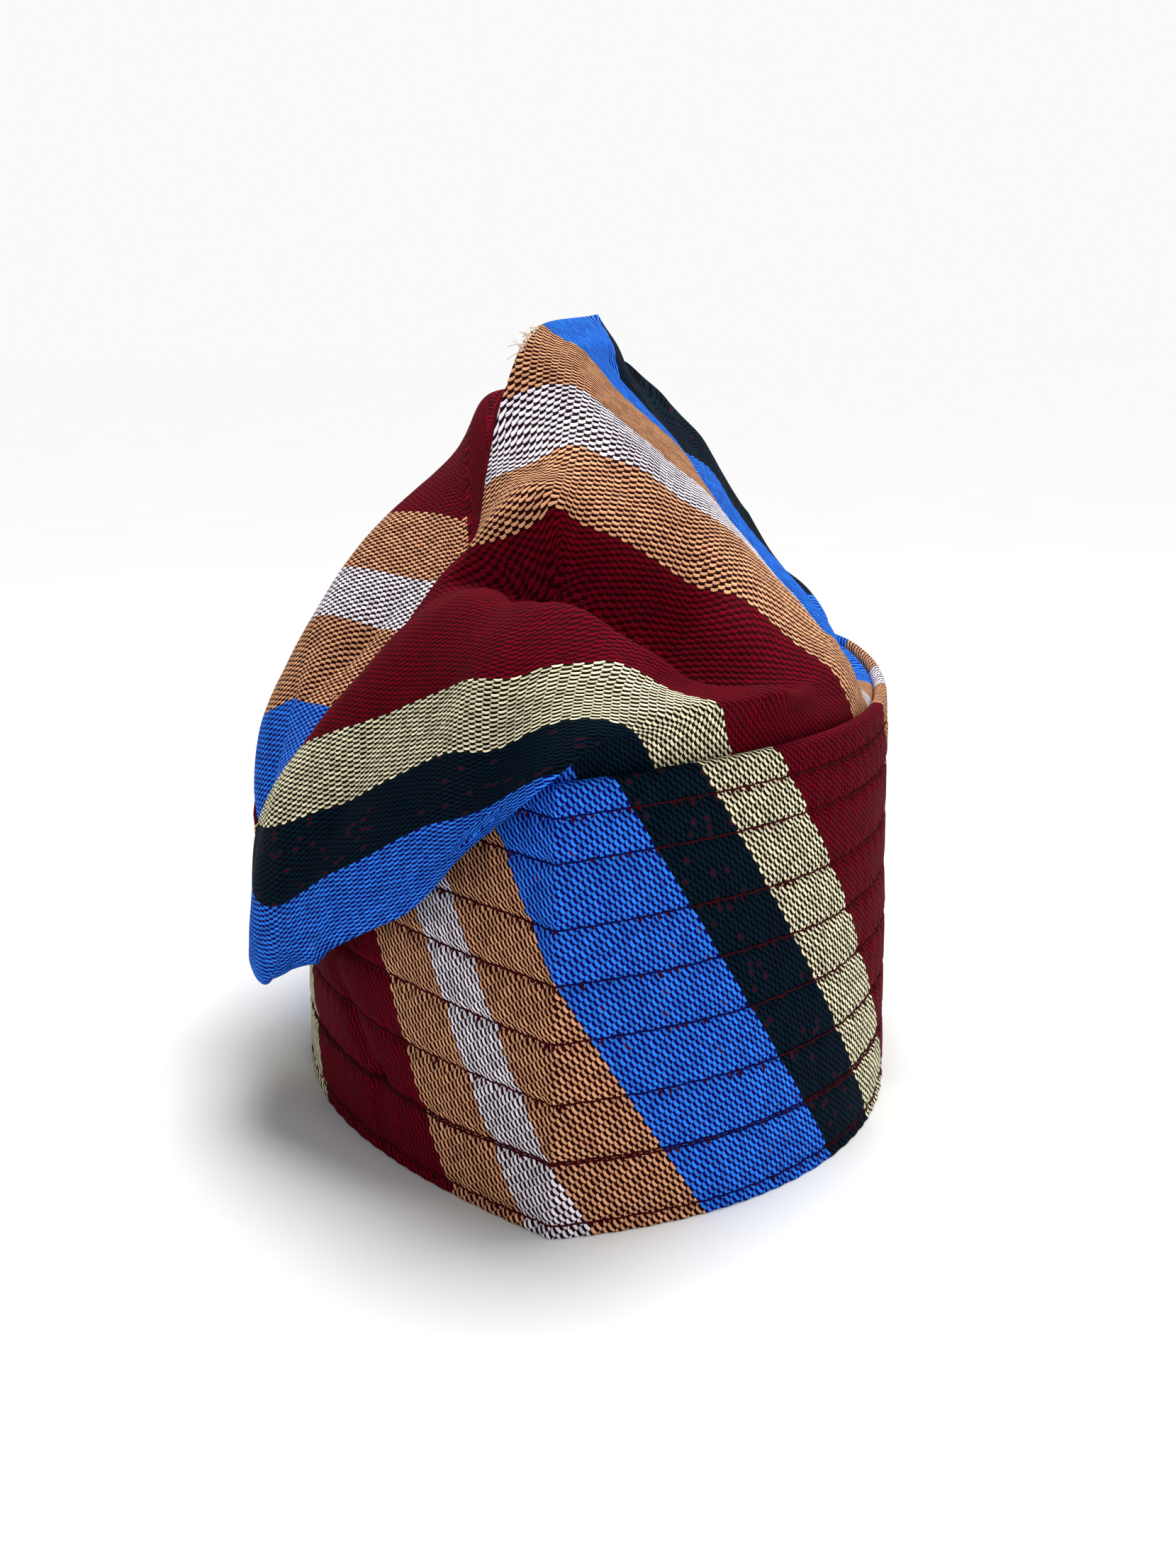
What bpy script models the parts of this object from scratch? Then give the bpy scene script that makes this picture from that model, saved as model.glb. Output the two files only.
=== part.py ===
"""Striped cloth cap: a stiff quilted cuff, and a soft tall crown that folds over to one side.

Metres, +Z up. The cap stands on the hem of its cuff, with the cuff's front crease towards -Y.
"Turn" is a place round the cap, as a share of half its girth: 0 at the front crease,
growing to the right (+X), and 1 or -1 at the back.
"""
from collections import namedtuple

import bmesh
import bpy
import numpy as np

# Cuff
BAND_HEIGHT = 0.102
BAND_THICKNESS = 0.0036
HALF_WIDTH = 0.083
FRONT_LENGTH = 0.127
BACK_LENGTH = 0.088
LEAN = 0.0142
RIM_RISE = 0.0055
RIM_RISE_START = 0.45
RIM_RISE_SPREAD = 0.25
GROOVE_DEPTH = 0.0008
GROOVE_WIDTH = 0.0024

# Crown
CROWN_RISE = 0.101
CROWN_CLOTH = 0.0018
TUCK_DEPTH = 0.030
ROLL_LIFT = 0.0075
SEAM_ALLOWANCE = 0.009
CLEARANCE = 0.0003

# Shares that shape the curves: the straight pull of the cuff's outline at its nose and its
# sides, the pull that makes a quarter of an ellipse, the longest mitre at a corner, how far
# a section's cloth stands above its roll over the rim, and how chord lengths space its points.
NOSE_PULL = 0.40
ROUND_PULL = 0.5523
MITRE_LIMIT = 1.4
LIFT_PAST_ROLL = 1.6
CHORD_POWER = 0.7

# Cloth that starts below the rim by the first share of CROWN_RISE hangs, and by the second it
# rolls over the rim more tightly, by TIGHTER_ROLL of ROLL_LIFT.
HANG_START = 0.10
HANG_FULL = 0.40
TIGHTER_ROLL = 0.4

# Folds fade out over these shares of a section, above the rim and below the seam. They push
# along normals evened out this many times.
FADE_AT_RIM = 0.12
FADE_AT_SEAM = 0.08
FOLD_EVENING = 8

# Mesh
TURN_STEPS = 80
SECTION_STEPS = 23
ROLL_STEPS = 4
INNER_STEPS = 3

# Outline of the cuff at its hem and its rim, seen from above, one row for each side.
# nose_angle is how far the cloth turns back from straight across at the front crease.
# width is a share of HALF_WIDTH, and widest is where it is reached, a share of FRONT_LENGTH.
Plan = namedtuple("Plan", "level side nose_angle width widest")
PLANS = (
    Plan("hem", 1, 15.0, 0.99, -0.175),
    Plan("hem", -1, 32.0, 1.01, 0.015),
    Plan("rim", 1, 33.0, 0.98, -0.04),
    Plan("rim", -1, 43.0, 1.02, 0.0),
)

# Rows of stitching that quilt the cuff, as shares of BAND_HEIGHT.
STITCH_ROWS = (0.025, 0.165, 0.297, 0.434, 0.563, 0.688, 0.83, 0.926)

# The crown's top seam, from the hidden low corner to the peak.
# share runs along the seam. side, fore and up are shares of HALF_WIDTH, of FRONT_LENGTH
# (BACK_LENGTH behind the middle) and of CROWN_RISE above the rim.
Seam = namedtuple("Seam", "share side fore up")
SEAM = (
    Seam(0.00, -1.09, -0.18, -0.46),
    Seam(0.12, -1.04, -0.45, -0.62),
    Seam(0.24, -1.03, -0.43, -0.29),
    Seam(0.30, -0.94, -0.44, -0.14),
    Seam(0.39, -0.75, -0.43, 0.03),
    Seam(0.48, -0.57, -0.40, 0.21),
    Seam(0.56, -0.44, -0.34, 0.36),
    Seam(0.62, -0.35, -0.31, 0.44),
    Seam(0.70, -0.33, -0.23, 0.58),
    Seam(0.82, -0.29, -0.12, 0.80),
    Seam(0.90, -0.22, -0.04, 0.95),
    Seam(1.00, -0.03, 0.23, 1.00),
)

# Where each turn of the crown's cloth ends on the seam. The back sheet mirrors the front.
SeamEnd = namedtuple("SeamEnd", "turn share")
SEAM_ENDS = (
    SeamEnd(-0.50, 0.0),
    SeamEnd(-0.40, 0.07),
    SeamEnd(-0.30, 0.14),
    SeamEnd(-0.21, 0.26),
    SeamEnd(-0.12, 0.45),
    SeamEnd(-0.04, 0.57),
    SeamEnd(0.04, 0.64),
    SeamEnd(0.12, 0.72),
    SeamEnd(0.21, 0.80),
    SeamEnd(0.31, 0.88),
    SeamEnd(0.41, 0.95),
    SeamEnd(0.50, 1.0),
)

# Sections of the crown from the cuff's rim to the top seam, one row for each turn.
# out and rise place the cloth just past the rim, as shares of HALF_WIDTH and CROWN_RISE:
# where out is large and rise is negative, it hangs over the rim as a lobe.
# belly and crest are the section's two fullest points, in the seam's shares.
Section = namedtuple(
    "Section", "turn out rise belly_side belly_fore belly_up crest_side crest_fore crest_up"
)
SECTIONS = (
    Section(-0.50, 0.08, -0.09, -1.13, -0.13, -0.19, -1.16, -0.18, -0.37),
    Section(-0.45, 0.14, -0.18, -1.09, -0.25, -0.46, -1.11, -0.30, -0.54),
    Section(-0.40, 0.16, -0.48, -1.04, -0.37, -0.62, -1.06, -0.42, -0.60),
    Section(-0.30, 0.21, -0.62, -0.94, -0.60, -0.67, -1.03, -0.53, -0.57),
    Section(-0.21, 0.20, -0.49, -0.74, -0.68, -0.37, -0.92, -0.54, -0.16),
    Section(-0.12, 0.18, -0.36, -0.43, -0.77, -0.08, -0.56, -0.51, 0.22),
    Section(-0.05, 0.16, -0.17, -0.19, -0.83, 0.12, -0.37, -0.46, 0.41),
    Section(0.02, 0.09, -0.02, -0.01, -0.84, 0.19, -0.23, -0.46, 0.48),
    Section(0.08, 0.05, 0.02, 0.11, -0.79, 0.20, -0.11, -0.43, 0.55),
    Section(0.15, 0.00, 0.03, 0.24, -0.70, 0.17, -0.01, -0.36, 0.56),
    Section(0.23, -0.02, 0.03, 0.39, -0.59, 0.13, 0.11, -0.26, 0.58),
    Section(0.32, -0.06, 0.05, 0.54, -0.41, 0.20, 0.19, -0.18, 0.66),
    Section(0.41, -0.11, 0.05, 0.64, -0.19, 0.23, 0.20, -0.06, 0.74),
    Section(0.52, -0.15, 0.06, 0.57, 0.17, 0.35, 0.18, 0.17, 0.73),
    Section(0.64, -0.12, 0.11, 0.50, 0.60, 0.36, 0.18, 0.45, 0.77),
    Section(0.78, -0.10, 0.13, 0.29, 0.80, 0.41, -0.09, 0.45, 0.79),
    Section(0.92, -0.06, 0.13, -0.09, 0.87, 0.42, -0.38, 0.13, 0.80),
    Section(-0.93, -0.06, 0.13, -0.49, 0.76, 0.40, -0.52, 0.13, 0.62),
    Section(-0.80, -0.05, 0.11, -0.78, 0.45, 0.26, -0.80, -0.01, 0.41),
    Section(-0.68, -0.01, 0.11, -0.96, 0.17, 0.15, -0.97, -0.12, 0.18),
    Section(-0.58, 0.05, -0.05, -1.10, 0.03, 0.01, -1.13, -0.20, -0.13),
)

# Ridges (positive height) and valleys (negative) pressed into the crown. Rows of one name are
# the points that a fold runs through, given by turn and by share of the way up the section.
# width and height are shares of CROWN_RISE.
Fold = namedtuple("Fold", "name turn way width height")
FOLDS = (
    Fold("valley under the knee", -0.05, 0.96, 0.08, -0.05),
    Fold("valley under the knee", -0.02, 0.84, 0.09, -0.10),
    Fold("valley under the knee", 0.04, 0.72, 0.10, -0.14),
    Fold("valley under the knee", 0.10, 0.62, 0.10, -0.14),
    Fold("valley under the knee", 0.17, 0.54, 0.10, -0.11),
    Fold("valley under the knee", 0.24, 0.46, 0.10, -0.07),
    Fold("valley under the knee", 0.29, 0.30, 0.09, -0.05),
    Fold("valley under the knee", 0.30, 0.12, 0.09, -0.03),
    Fold("roll under the valley", -0.15, 0.80, 0.10, 0.02),
    Fold("roll under the valley", -0.03, 0.55, 0.10, 0.04),
    Fold("roll under the valley", 0.10, 0.38, 0.10, 0.03),
    Fold("ridge from the seam over the knee", 0.50, 0.97, 0.10, 0.03),
    Fold("ridge from the seam over the knee", 0.10, 0.77, 0.10, 0.04),
    Fold("ridge from the seam over the knee", -0.01, 0.94, 0.10, 0.03),
)

# Colours as red, green and blue shares, linear.
MAROON = (0.145, 0.009, 0.018)
TAN = (0.52, 0.27, 0.11)


def ease(x):
    """Smooth step from 0 to 1."""
    x = np.clip(x, 0.0, 1.0)
    return x * x * (3.0 - 2.0 * x)


def wrap_turn(turn):
    """Turn brought into -1 to 1."""
    return (np.asarray(turn, float) + 1.0) % 2.0 - 1.0


def curve_through(knots, points, at, period=None):
    """Catmull-Rom curve through points at knots, read at the given values."""
    knots = np.asarray(knots, float)
    points = np.asarray(points, float)
    if period:
        knots = np.concatenate([knots[-2:] - period, knots, knots[:2] + period])
        points = np.concatenate([points[-2:], points, points[:2]])
    wide = (-1,) + (1,) * (points.ndim - 1)
    step = np.diff(knots).reshape(wide)
    slope = np.diff(points, axis=0) / step
    tangent = np.empty_like(points)
    tangent[1:-1] = (slope[:-1] * step[1:] + slope[1:] * step[:-1]) / (step[:-1] + step[1:])
    tangent[0] = slope[0]
    tangent[-1] = slope[-1]
    at = np.asarray(at, float)
    i = np.clip(np.searchsorted(knots, at, side="right") - 1, 0, len(knots) - 2)
    span = (knots[i + 1] - knots[i]).reshape(wide)
    s = (at - knots[i]).reshape(wide) / span
    return (
        (2 * s**3 - 3 * s**2 + 1) * points[i]
        + (s**3 - 2 * s**2 + s) * span * tangent[i]
        + (3 * s**2 - 2 * s**3) * points[i + 1]
        + (s**3 - s**2) * span * tangent[i + 1]
    )


def bezier(a, b, c, d, count=60):
    """Points along a cubic Bezier curve."""
    t = np.linspace(0.0, 1.0, count)[:, None]
    return (1 - t) ** 3 * a + 3 * (1 - t) ** 2 * t * b + 3 * (1 - t) * t**2 * c + t**3 * d


def plan_side(row):
    """One side of the cuff's outline, nose to back, and the length along it."""
    lean = LEAN if row.level == "rim" else 0.0
    nose = np.array([0.0, lean - FRONT_LENGTH])
    wide = np.array([row.width * HALF_WIDTH, lean + row.widest * FRONT_LENGTH])
    back = np.array([0.0, lean + BACK_LENGTH])
    pull = NOSE_PULL * np.linalg.norm(wide - nose)
    angle = np.radians(row.nose_angle)
    along_nose = np.array([np.cos(angle), np.sin(angle)])
    front_half = bezier(nose, nose + pull * along_nose, wide - (0.0, pull), wide)
    back_half = bezier(
        wide,
        wide + (0.0, ROUND_PULL * (back[1] - wide[1])),
        (ROUND_PULL * wide[0], back[1]),
        back,
    )
    outline = np.vstack([front_half, back_half[1:]]) * (row.side, 1.0)
    length = np.concatenate([[0.0], np.cumsum(np.linalg.norm(np.diff(outline, axis=0), axis=1))])
    return length, outline


def plan_point(level, turn):
    """Points of the cuff's outline at the given turns."""
    turn = wrap_turn(turn)
    points = np.zeros((len(turn), 2))
    for row in PLANS:
        if row.level == level:
            here = turn * row.side >= 0.0
            length, outline = plan_side(row)
            way = np.abs(turn[here]) * length[-1]
            for axis in (0, 1):
                points[here, axis] = np.interp(way, length, outline[:, axis])
    return points


def outward(points):
    """Outward offsets of a closed ring of points seen from above, mitred at its corners."""
    ahead = np.roll(points, -1, axis=0) - points
    ahead /= np.linalg.norm(ahead, axis=1, keepdims=True)
    normal_ahead = np.stack([ahead[:, 1], -ahead[:, 0]], axis=1)
    normal = normal_ahead + np.roll(normal_ahead, 1, axis=0)
    normal /= np.linalg.norm(normal, axis=1, keepdims=True)
    mitre = 1.0 / np.sum(normal * normal_ahead, axis=1, keepdims=True)
    return normal * np.minimum(mitre, MITRE_LIMIT)


def rim_height(turn):
    """Height of the rim, a little higher towards the back."""
    towards_back = (np.abs(wrap_turn(turn)) - RIM_RISE_START) / RIM_RISE_SPREAD
    return BAND_HEIGHT + RIM_RISE * ease(towards_back)


def all_turns():
    """The turns at which the cap is sampled, starting at the left side."""
    return wrap_turn(-0.5 + 2.0 * np.arange(TURN_STEPS) / TURN_STEPS)


def band_ring(turn, share, inward):
    """A ring of the cuff at a share of its height, moved inward by a distance."""
    ring = plan_point("hem", turn) * (1.0 - share) + plan_point("rim", turn) * share
    ring = ring - outward(ring) * inward
    return np.column_stack([ring, rim_height(turn) * share])


def groove(share):
    """How far the quilting pulls the outer face in at a share of the cuff's height."""
    away = (share - np.array(STITCH_ROWS)) * BAND_HEIGHT / GROOVE_WIDTH
    return GROOVE_DEPTH * float(np.max(np.exp(-(away**2))))


def band_rings(turn):
    """Rings round the cuff's wall: up the outer face, over the rolled rim and down inside."""
    roll = 0.5 * BAND_THICKNESS
    top = 1.0 - roll / BAND_HEIGHT
    rows = np.array((0.0,) + STITCH_ROWS + (top,))
    shares = np.sort(np.concatenate([rows, 0.5 * (rows[1:-1] + rows[2:])]))
    rings = [band_ring(turn, share, groove(share)) for share in shares]
    for step in range(1, ROLL_STEPS):
        angle = np.pi * step / ROLL_STEPS
        share = top + (1.0 - top) * np.sin(angle)
        rings.append(band_ring(turn, share, roll * (1.0 - np.cos(angle))))
    for share in np.linspace(top, 0.0, INNER_STEPS + 1):
        rings.append(band_ring(turn, share, BAND_THICKNESS))
    return np.array(rings)


def place(side, fore, up):
    """Point from its shares of the cap's sizes, up counted from the rim."""
    length = np.where(fore < 0.0, FRONT_LENGTH, BACK_LENGTH)
    return np.stack([side * HALF_WIDTH, fore * length, BAND_HEIGHT + up * CROWN_RISE], axis=-1)


def loop_of(turn):
    """Place round the crown from 0 to 1, starting at the left side."""
    return (wrap_turn(turn) + 0.5) % 2.0 / 2.0


def seam_point(turn):
    """Where the crown's cloth at each turn meets the top seam."""
    mirrored = 0.5 - np.abs(loop_of(turn) - 0.5)
    ends = np.array(SEAM_ENDS)
    share = curve_through(loop_of(ends[:, 0] - 1e-9), ends[:, 1], mirrored)
    table = np.array(SEAM)
    return curve_through(table[:, 0], place(*table[:, 1:].T), np.clip(share, 0.0, 1.0))


def crown_controls(turn):
    """The points that each section of the crown runs through, from its tuck to the seam."""
    table = np.array(SECTIONS)
    knots = loop_of(table[:, 0])
    loop = loop_of(turn)
    out, rise = curve_through(knots, table[:, 1:3], loop, period=1.0).T
    belly = curve_through(knots, place(*table[:, 3:6].T), loop, period=1.0)
    crest = curve_through(knots, place(*table[:, 6:9].T), loop, period=1.0)
    inside = BAND_THICKNESS + CLEARANCE
    top_share = 1.0 - 0.5 * BAND_THICKNESS / BAND_HEIGHT
    tuck = band_ring(turn, 1.0 - TUCK_DEPTH / BAND_HEIGHT, inside)
    rim = band_ring(turn, top_share, inside)
    ring = plan_point("rim", turn)
    away = np.column_stack([outward(ring), np.zeros(len(ring))])
    edge = np.column_stack([ring, rim_height(turn)])
    out = (out * HALF_WIDTH)[:, None]
    up = np.array([0.0, 0.0, 1.0])
    low = edge + away * out + up * (rise * CROWN_RISE)[:, None]
    above_roll = rim_height(turn) + LIFT_PAST_ROLL * ROLL_LIFT
    low[:, 2] += ease(1.0 + rise / HANG_START) * np.maximum(above_roll - low[:, 2], 0.0)
    hang = ease((out + inside) / (2.0 * inside))
    over = rim + away * 0.5 * inside * hang + away * np.minimum(out + inside, 0.0) * 0.5
    lift = ROLL_LIFT * (1.0 - TIGHTER_ROLL * ease(-rise / HANG_FULL))
    over = over + up * (lift + 0.5 * BAND_THICKNESS)[:, None]
    return np.stack([tuck, rim, over, low, belly, crest, seam_point(turn)])


def grid_normals(grid, passes=2):
    """Outward normals of the crown's sheet, a grid of section steps by turns, evened out."""
    across = np.roll(grid, -1, axis=1) - np.roll(grid, 1, axis=1)
    along = np.gradient(grid, axis=0)
    normal = np.cross(across, along)
    normal /= np.maximum(np.linalg.norm(normal, axis=-1, keepdims=True), 1e-9)
    for _ in range(passes):
        normal += 0.5 * (np.roll(normal, 1, axis=1) + np.roll(normal, -1, axis=1))
        normal[1:-1] += 0.5 * (normal[:-2] + normal[2:])
        normal /= np.maximum(np.linalg.norm(normal, axis=-1, keepdims=True), 1e-9)
    return normal


def fold_depth(fold_points, here, scale):
    """How far one fold moves each place of the sheet, by its distance from the fold's line."""
    nearest = np.full(here.shape[:2], np.inf)
    depth = np.zeros(here.shape[:2])
    for a, b in zip(fold_points, fold_points[1:]):
        start = scale * (a.turn, a.way)
        line = scale * (b.turn, b.way) - start
        share = np.clip(np.sum((here - start) * line, axis=-1) / np.sum(line**2), 0.0, 1.0)
        off = np.linalg.norm(here - start - share[..., None] * line, axis=-1)
        off /= (a.width + share * (b.width - a.width)) * CROWN_RISE
        height = (a.height + share * (b.height - a.height)) * CROWN_RISE
        closer = off < nearest
        nearest = np.where(closer, off, nearest)
        depth = np.where(closer, height * np.exp(-(off**2)), depth)
    return depth


def press_folds(grid, turn, way):
    """The sheet with its ridges raised and its valleys pushed in."""
    quarter_girth = 0.25 * np.pi * (BACK_LENGTH + FRONT_LENGTH)
    section = 1.5 * CROWN_RISE
    scale = np.array([quarter_girth, section])
    here = np.stack(np.broadcast_arrays(turn[None, :], way[:, None]), axis=-1) * scale
    shift = np.zeros(grid.shape[:2])
    for name in dict.fromkeys(fold.name for fold in FOLDS):
        shift += fold_depth([fold for fold in FOLDS if fold.name == name], here, scale)
    fade = ease(way / FADE_AT_RIM) * ease((1.0 - way) / FADE_AT_SEAM)
    return grid + grid_normals(grid, FOLD_EVENING) * (shift * fade[:, None])[..., None]


def even_out(grid, passes=2):
    """The sheet with its sharpest kinks eased, its rim and seam left in place."""
    for _ in range(passes):
        beside = 0.5 * (np.roll(grid, 1, axis=1) + np.roll(grid, -1, axis=1))
        above_below = 0.5 * (grid[:-2] + grid[2:])
        eased = 0.5 * grid[1:-1] + 0.25 * (beside[1:-1] + above_below)
        grid = np.concatenate([grid[:1], eased, grid[-1:]])
    return grid


def crown_sheet(turn, steps):
    """The crown's outer face: rows from the tucked edge and the rim up to the seam."""
    controls = crown_controls(turn)
    chord = np.linalg.norm(np.diff(controls, axis=0), axis=-1) ** CHORD_POWER
    knots = np.vstack([np.zeros(len(turn)), np.cumsum(chord, axis=0)])
    way = np.linspace(0.0, 1.0, steps)
    rows = np.empty((steps, len(turn), 3))
    for i in range(len(turn)):
        at = knots[1, i] + (knots[-1, i] - knots[1, i]) * way
        rows[:, i] = curve_through(knots[:, i], controls[:, i], at)
    rows = press_folds(even_out(rows), turn, way)
    return np.concatenate([controls[:1], rows])


def crown_inner(sheet):
    """The crown's inner face, one cloth inside its outer face and closed under the seam."""
    normal = grid_normals(sheet)
    normal[:2, :, 2] = 0.0
    normal[:2] /= np.linalg.norm(normal[:2], axis=-1, keepdims=True)
    from_seam = np.linalg.norm(sheet - sheet[-1:], axis=-1, keepdims=True)
    cloth = CROWN_CLOTH * np.minimum(1.0, from_seam / SEAM_ALLOWANCE)
    inner = sheet - normal * cloth
    mirror = (-np.arange(sheet.shape[1])) % sheet.shape[1]
    inner[-1] = 0.5 * (inner[-2] + inner[-2][mirror])
    return inner


def add_object(name, mesh_builder, colour, roughness):
    """New object from a filled bmesh, with its own material."""
    shape = mesh_builder()
    if shape.calc_volume(signed=True) < 0.0:
        bmesh.ops.reverse_faces(shape, faces=shape.faces)
    mesh = bpy.data.meshes.new(name)
    shape.to_mesh(mesh)
    shape.free()
    mesh.shade_smooth()
    piece = bpy.data.objects.new(name, mesh)
    bpy.context.collection.objects.link(piece)
    material = bpy.data.materials.new(name + "_cloth")
    material.use_nodes = True
    finish = material.node_tree.nodes["Principled BSDF"]
    finish.inputs["Base Color"].default_value = colour + (1.0,)
    finish.inputs["Roughness"].default_value = roughness
    mesh.materials.append(material)
    return piece


def bridge(shape, ring_a, ring_b):
    """Quads between two closed rings of vertices, three-sided where two corners are one."""
    count = len(ring_a)
    for i in range(count):
        j = (i + 1) % count
        corners = list(dict.fromkeys((ring_a[i], ring_a[j], ring_b[j], ring_b[i])))
        shape.faces.new(corners)


def band_shape():
    """The cuff: one closed ring of quilted double cloth."""
    shape = bmesh.new()
    rings = [[shape.verts.new(p) for p in ring] for ring in band_rings(all_turns())]
    for ring_a, ring_b in zip(rings, rings[1:] + rings[:1]):
        bridge(shape, ring_a, ring_b)
    return shape


def crown_shape():
    """The crown: a cloth bag, open below, whose two sheets meet along the top seam."""
    shape = bmesh.new()
    sheet = crown_sheet(all_turns(), SECTION_STEPS)
    faces = []
    half = TURN_STEPS // 2
    for grid in (sheet, crown_inner(sheet)):
        rings = [[shape.verts.new(p) for p in ring] for ring in grid[:-1]]
        seam = [shape.verts.new(p) for p in grid[-1][: half + 1]]
        rings.append(seam + seam[-2:0:-1])
        faces.append(rings)
    for ring_a, ring_b in zip(faces[0], faces[0][1:]):
        bridge(shape, ring_a, ring_b)
    for ring_a, ring_b in zip(faces[1], faces[1][1:]):
        bridge(shape, ring_b, ring_a)
    bridge(shape, faces[1][0], faces[0][0])
    return shape


def stand_on_origin(pieces):
    """Move the pieces so that the middle of their footprint's box is at the origin."""
    corners = np.array([v.co for piece in pieces for v in piece.data.vertices])
    middle = 0.5 * (corners.min(axis=0) + corners.max(axis=0))
    for piece in pieces:
        piece.location = (-middle[0], -middle[1], -corners[:, 2].min())


def build():
    """Clear the scene and make the cap."""
    for old in list(bpy.data.objects):
        bpy.data.objects.remove(old)
    band = add_object("band", band_shape, MAROON, 0.85)
    crown = add_object("crown", crown_shape, TAN, 0.9)
    stand_on_origin((band, crown))


build()
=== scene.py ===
"""The striped cap as cloth: a quilted cuff, a soft folded crown, their weave, stitches and loose threads.

Metres, +Z up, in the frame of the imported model. "Turn" is a place round the cap as a share of half its
girth: 0 at the cuff's front crease, growing to the right (+X), and 1 or -1 at the back.
"""

import math
import random
from collections import namedtuple
from functools import partial, partialmethod

import bpy
import numpy as np
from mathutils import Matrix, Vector, noise


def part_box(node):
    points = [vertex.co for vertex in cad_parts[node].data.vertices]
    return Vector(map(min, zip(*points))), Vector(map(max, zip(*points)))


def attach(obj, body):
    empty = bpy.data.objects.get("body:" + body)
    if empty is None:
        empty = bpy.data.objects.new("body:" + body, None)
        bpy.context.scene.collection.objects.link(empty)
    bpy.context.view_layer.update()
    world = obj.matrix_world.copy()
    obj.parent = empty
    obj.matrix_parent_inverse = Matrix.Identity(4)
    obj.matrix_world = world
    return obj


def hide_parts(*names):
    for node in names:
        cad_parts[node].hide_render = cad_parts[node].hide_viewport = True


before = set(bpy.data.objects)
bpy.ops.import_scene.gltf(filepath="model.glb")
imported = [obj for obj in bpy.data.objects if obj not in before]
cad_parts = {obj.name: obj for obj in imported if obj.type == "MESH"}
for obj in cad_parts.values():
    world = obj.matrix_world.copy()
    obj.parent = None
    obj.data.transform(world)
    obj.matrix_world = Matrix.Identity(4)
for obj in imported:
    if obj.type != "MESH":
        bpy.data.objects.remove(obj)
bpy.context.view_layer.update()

# Sizes of the solids, as part.py has them
BAND_HEIGHT = 0.102
BAND_THICKNESS = 0.0036
HALF_WIDTH = 0.083
FRONT_LENGTH = 0.127
BACK_LENGTH = 0.088
LEAN = 0.0142
RIM_RISE = 0.0055
RIM_RISE_START = 0.45
RIM_RISE_SPREAD = 0.25
CROWN_RISE = 0.101
CROWN_CLOTH = 0.0018
TUCK_DEPTH = 0.030
ROLL_LIFT = 0.0075
SEAM_ALLOWANCE = 0.009
CLEARANCE = 0.0003
NOSE_PULL = 0.40
ROUND_PULL = 0.5523
MITRE_LIMIT = 1.4
LIFT_PAST_ROLL = 1.6
CHORD_POWER = 0.7
HANG_START = 0.10
HANG_FULL = 0.40
TIGHTER_ROLL = 0.4
FADE_AT_RIM = 0.12
FADE_AT_SEAM = 0.08
FOLD_EVENING = 8
COARSE_TURNS = 80
COARSE_ROWS = 23

# Fine cloth
FINE_TURNS = 480
CROWN_FINER = 7
OUTER_RINGS = 126
ROLL_RINGS = 12
INNER_RINGS = 26
TUCK_ROWS = 12
HEM_SHARE = 0.46
GROOVE_DEPTH = 0.0007
GROOVE_WIDTH = 0.0012
PUFF = 0.0003
PUCKER_DEPTH = 0.00022
PUCKER_WIDTH = 0.004
PUCKER_SPACING = 0.0031
CREASE_POWER = 1.4
CREASE_FADE = 0.03
PINCHED_TURN = 0.09
PINCHED_SHARE = 0.9
INSIDE_ROWS = 4
INSIDE_TURNS = 3

# Stitching and loose yarn ends, (least, most) where there are two
STITCH = 0.0024
STITCH_POINTS = 1300
STITCH_RADIUS = 0.00023
STITCH_PROUD = 0.00016
STITCH_DIP = 0.0004
# Waves of a stitch row: share of the cuff's height, rate round the cap, shift from row to row
STITCH_WANDER = ((0.0022, 9.0, 1.0), (0.0012, 31.0, 2.0))
DOUBLE_ROW = 1
DOUBLE_ROW_GAP = 0.0006
WEDGE_SHARE = 0.38
WEDGE_LENGTH = (0.0007, 0.0019)
WEDGE_LEAN = (-0.25, 0.35)
WEDGE_RADIUS = (0.00036, 0.00056)
WEDGE_SHAPE = (0.5, 0.95, 1.0, 0.9, 0.7, 0.3)
THREAD_SIDES = 5
NEARLY_UP = (0.08, 0.05, 1.0)
LOOSE_ENDS = 26
LOOSE_TURN = (0.30, 0.36)
LOOSE_LENGTH = (0.0012, 0.0040)
LOOSE_RADIUS = (0.00022, 0.0001)
LOOSE_LEAN = (-0.9, 0.9)
LOOSE_DROOP = ((-0.4, 0.4), (-0.4, 0.4), (-0.7, 0.2))

# Cloth pattern: sizes in metres on the flat cloth
HALF_GIRTH = 0.293
CROWN_DEPTH = 0.134
STRIPE_REPEAT = 0.186
STRIPE_SLANT = math.radians(57.6)
CUFF_START = 0.0258
CROWN_START = -0.1005
BACK_LEFT_START = 0.1589
SEEN_COLUMNS = slice(8, 41)

# Weave: column and row of the cells in metres, how far they wander, then shares of a cell
COLUMN = 0.0007
ROW = 0.0019
WANDER_ACROSS = 0.0004
WANDER_ALONG = 0.0016
FLOAT_BOW = 0.26
FLOAT_LEAN = 0.22
FLOAT_REACH = 0.60
SIDE_POWER = 2.6
END_POWER = 4.0
ALWAYS_UNDER = 9.0
FLECK_SHARE = 0.8
YARN_HEIGHT = 0.0005
THREAD_HEIGHT = 0.0001

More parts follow.
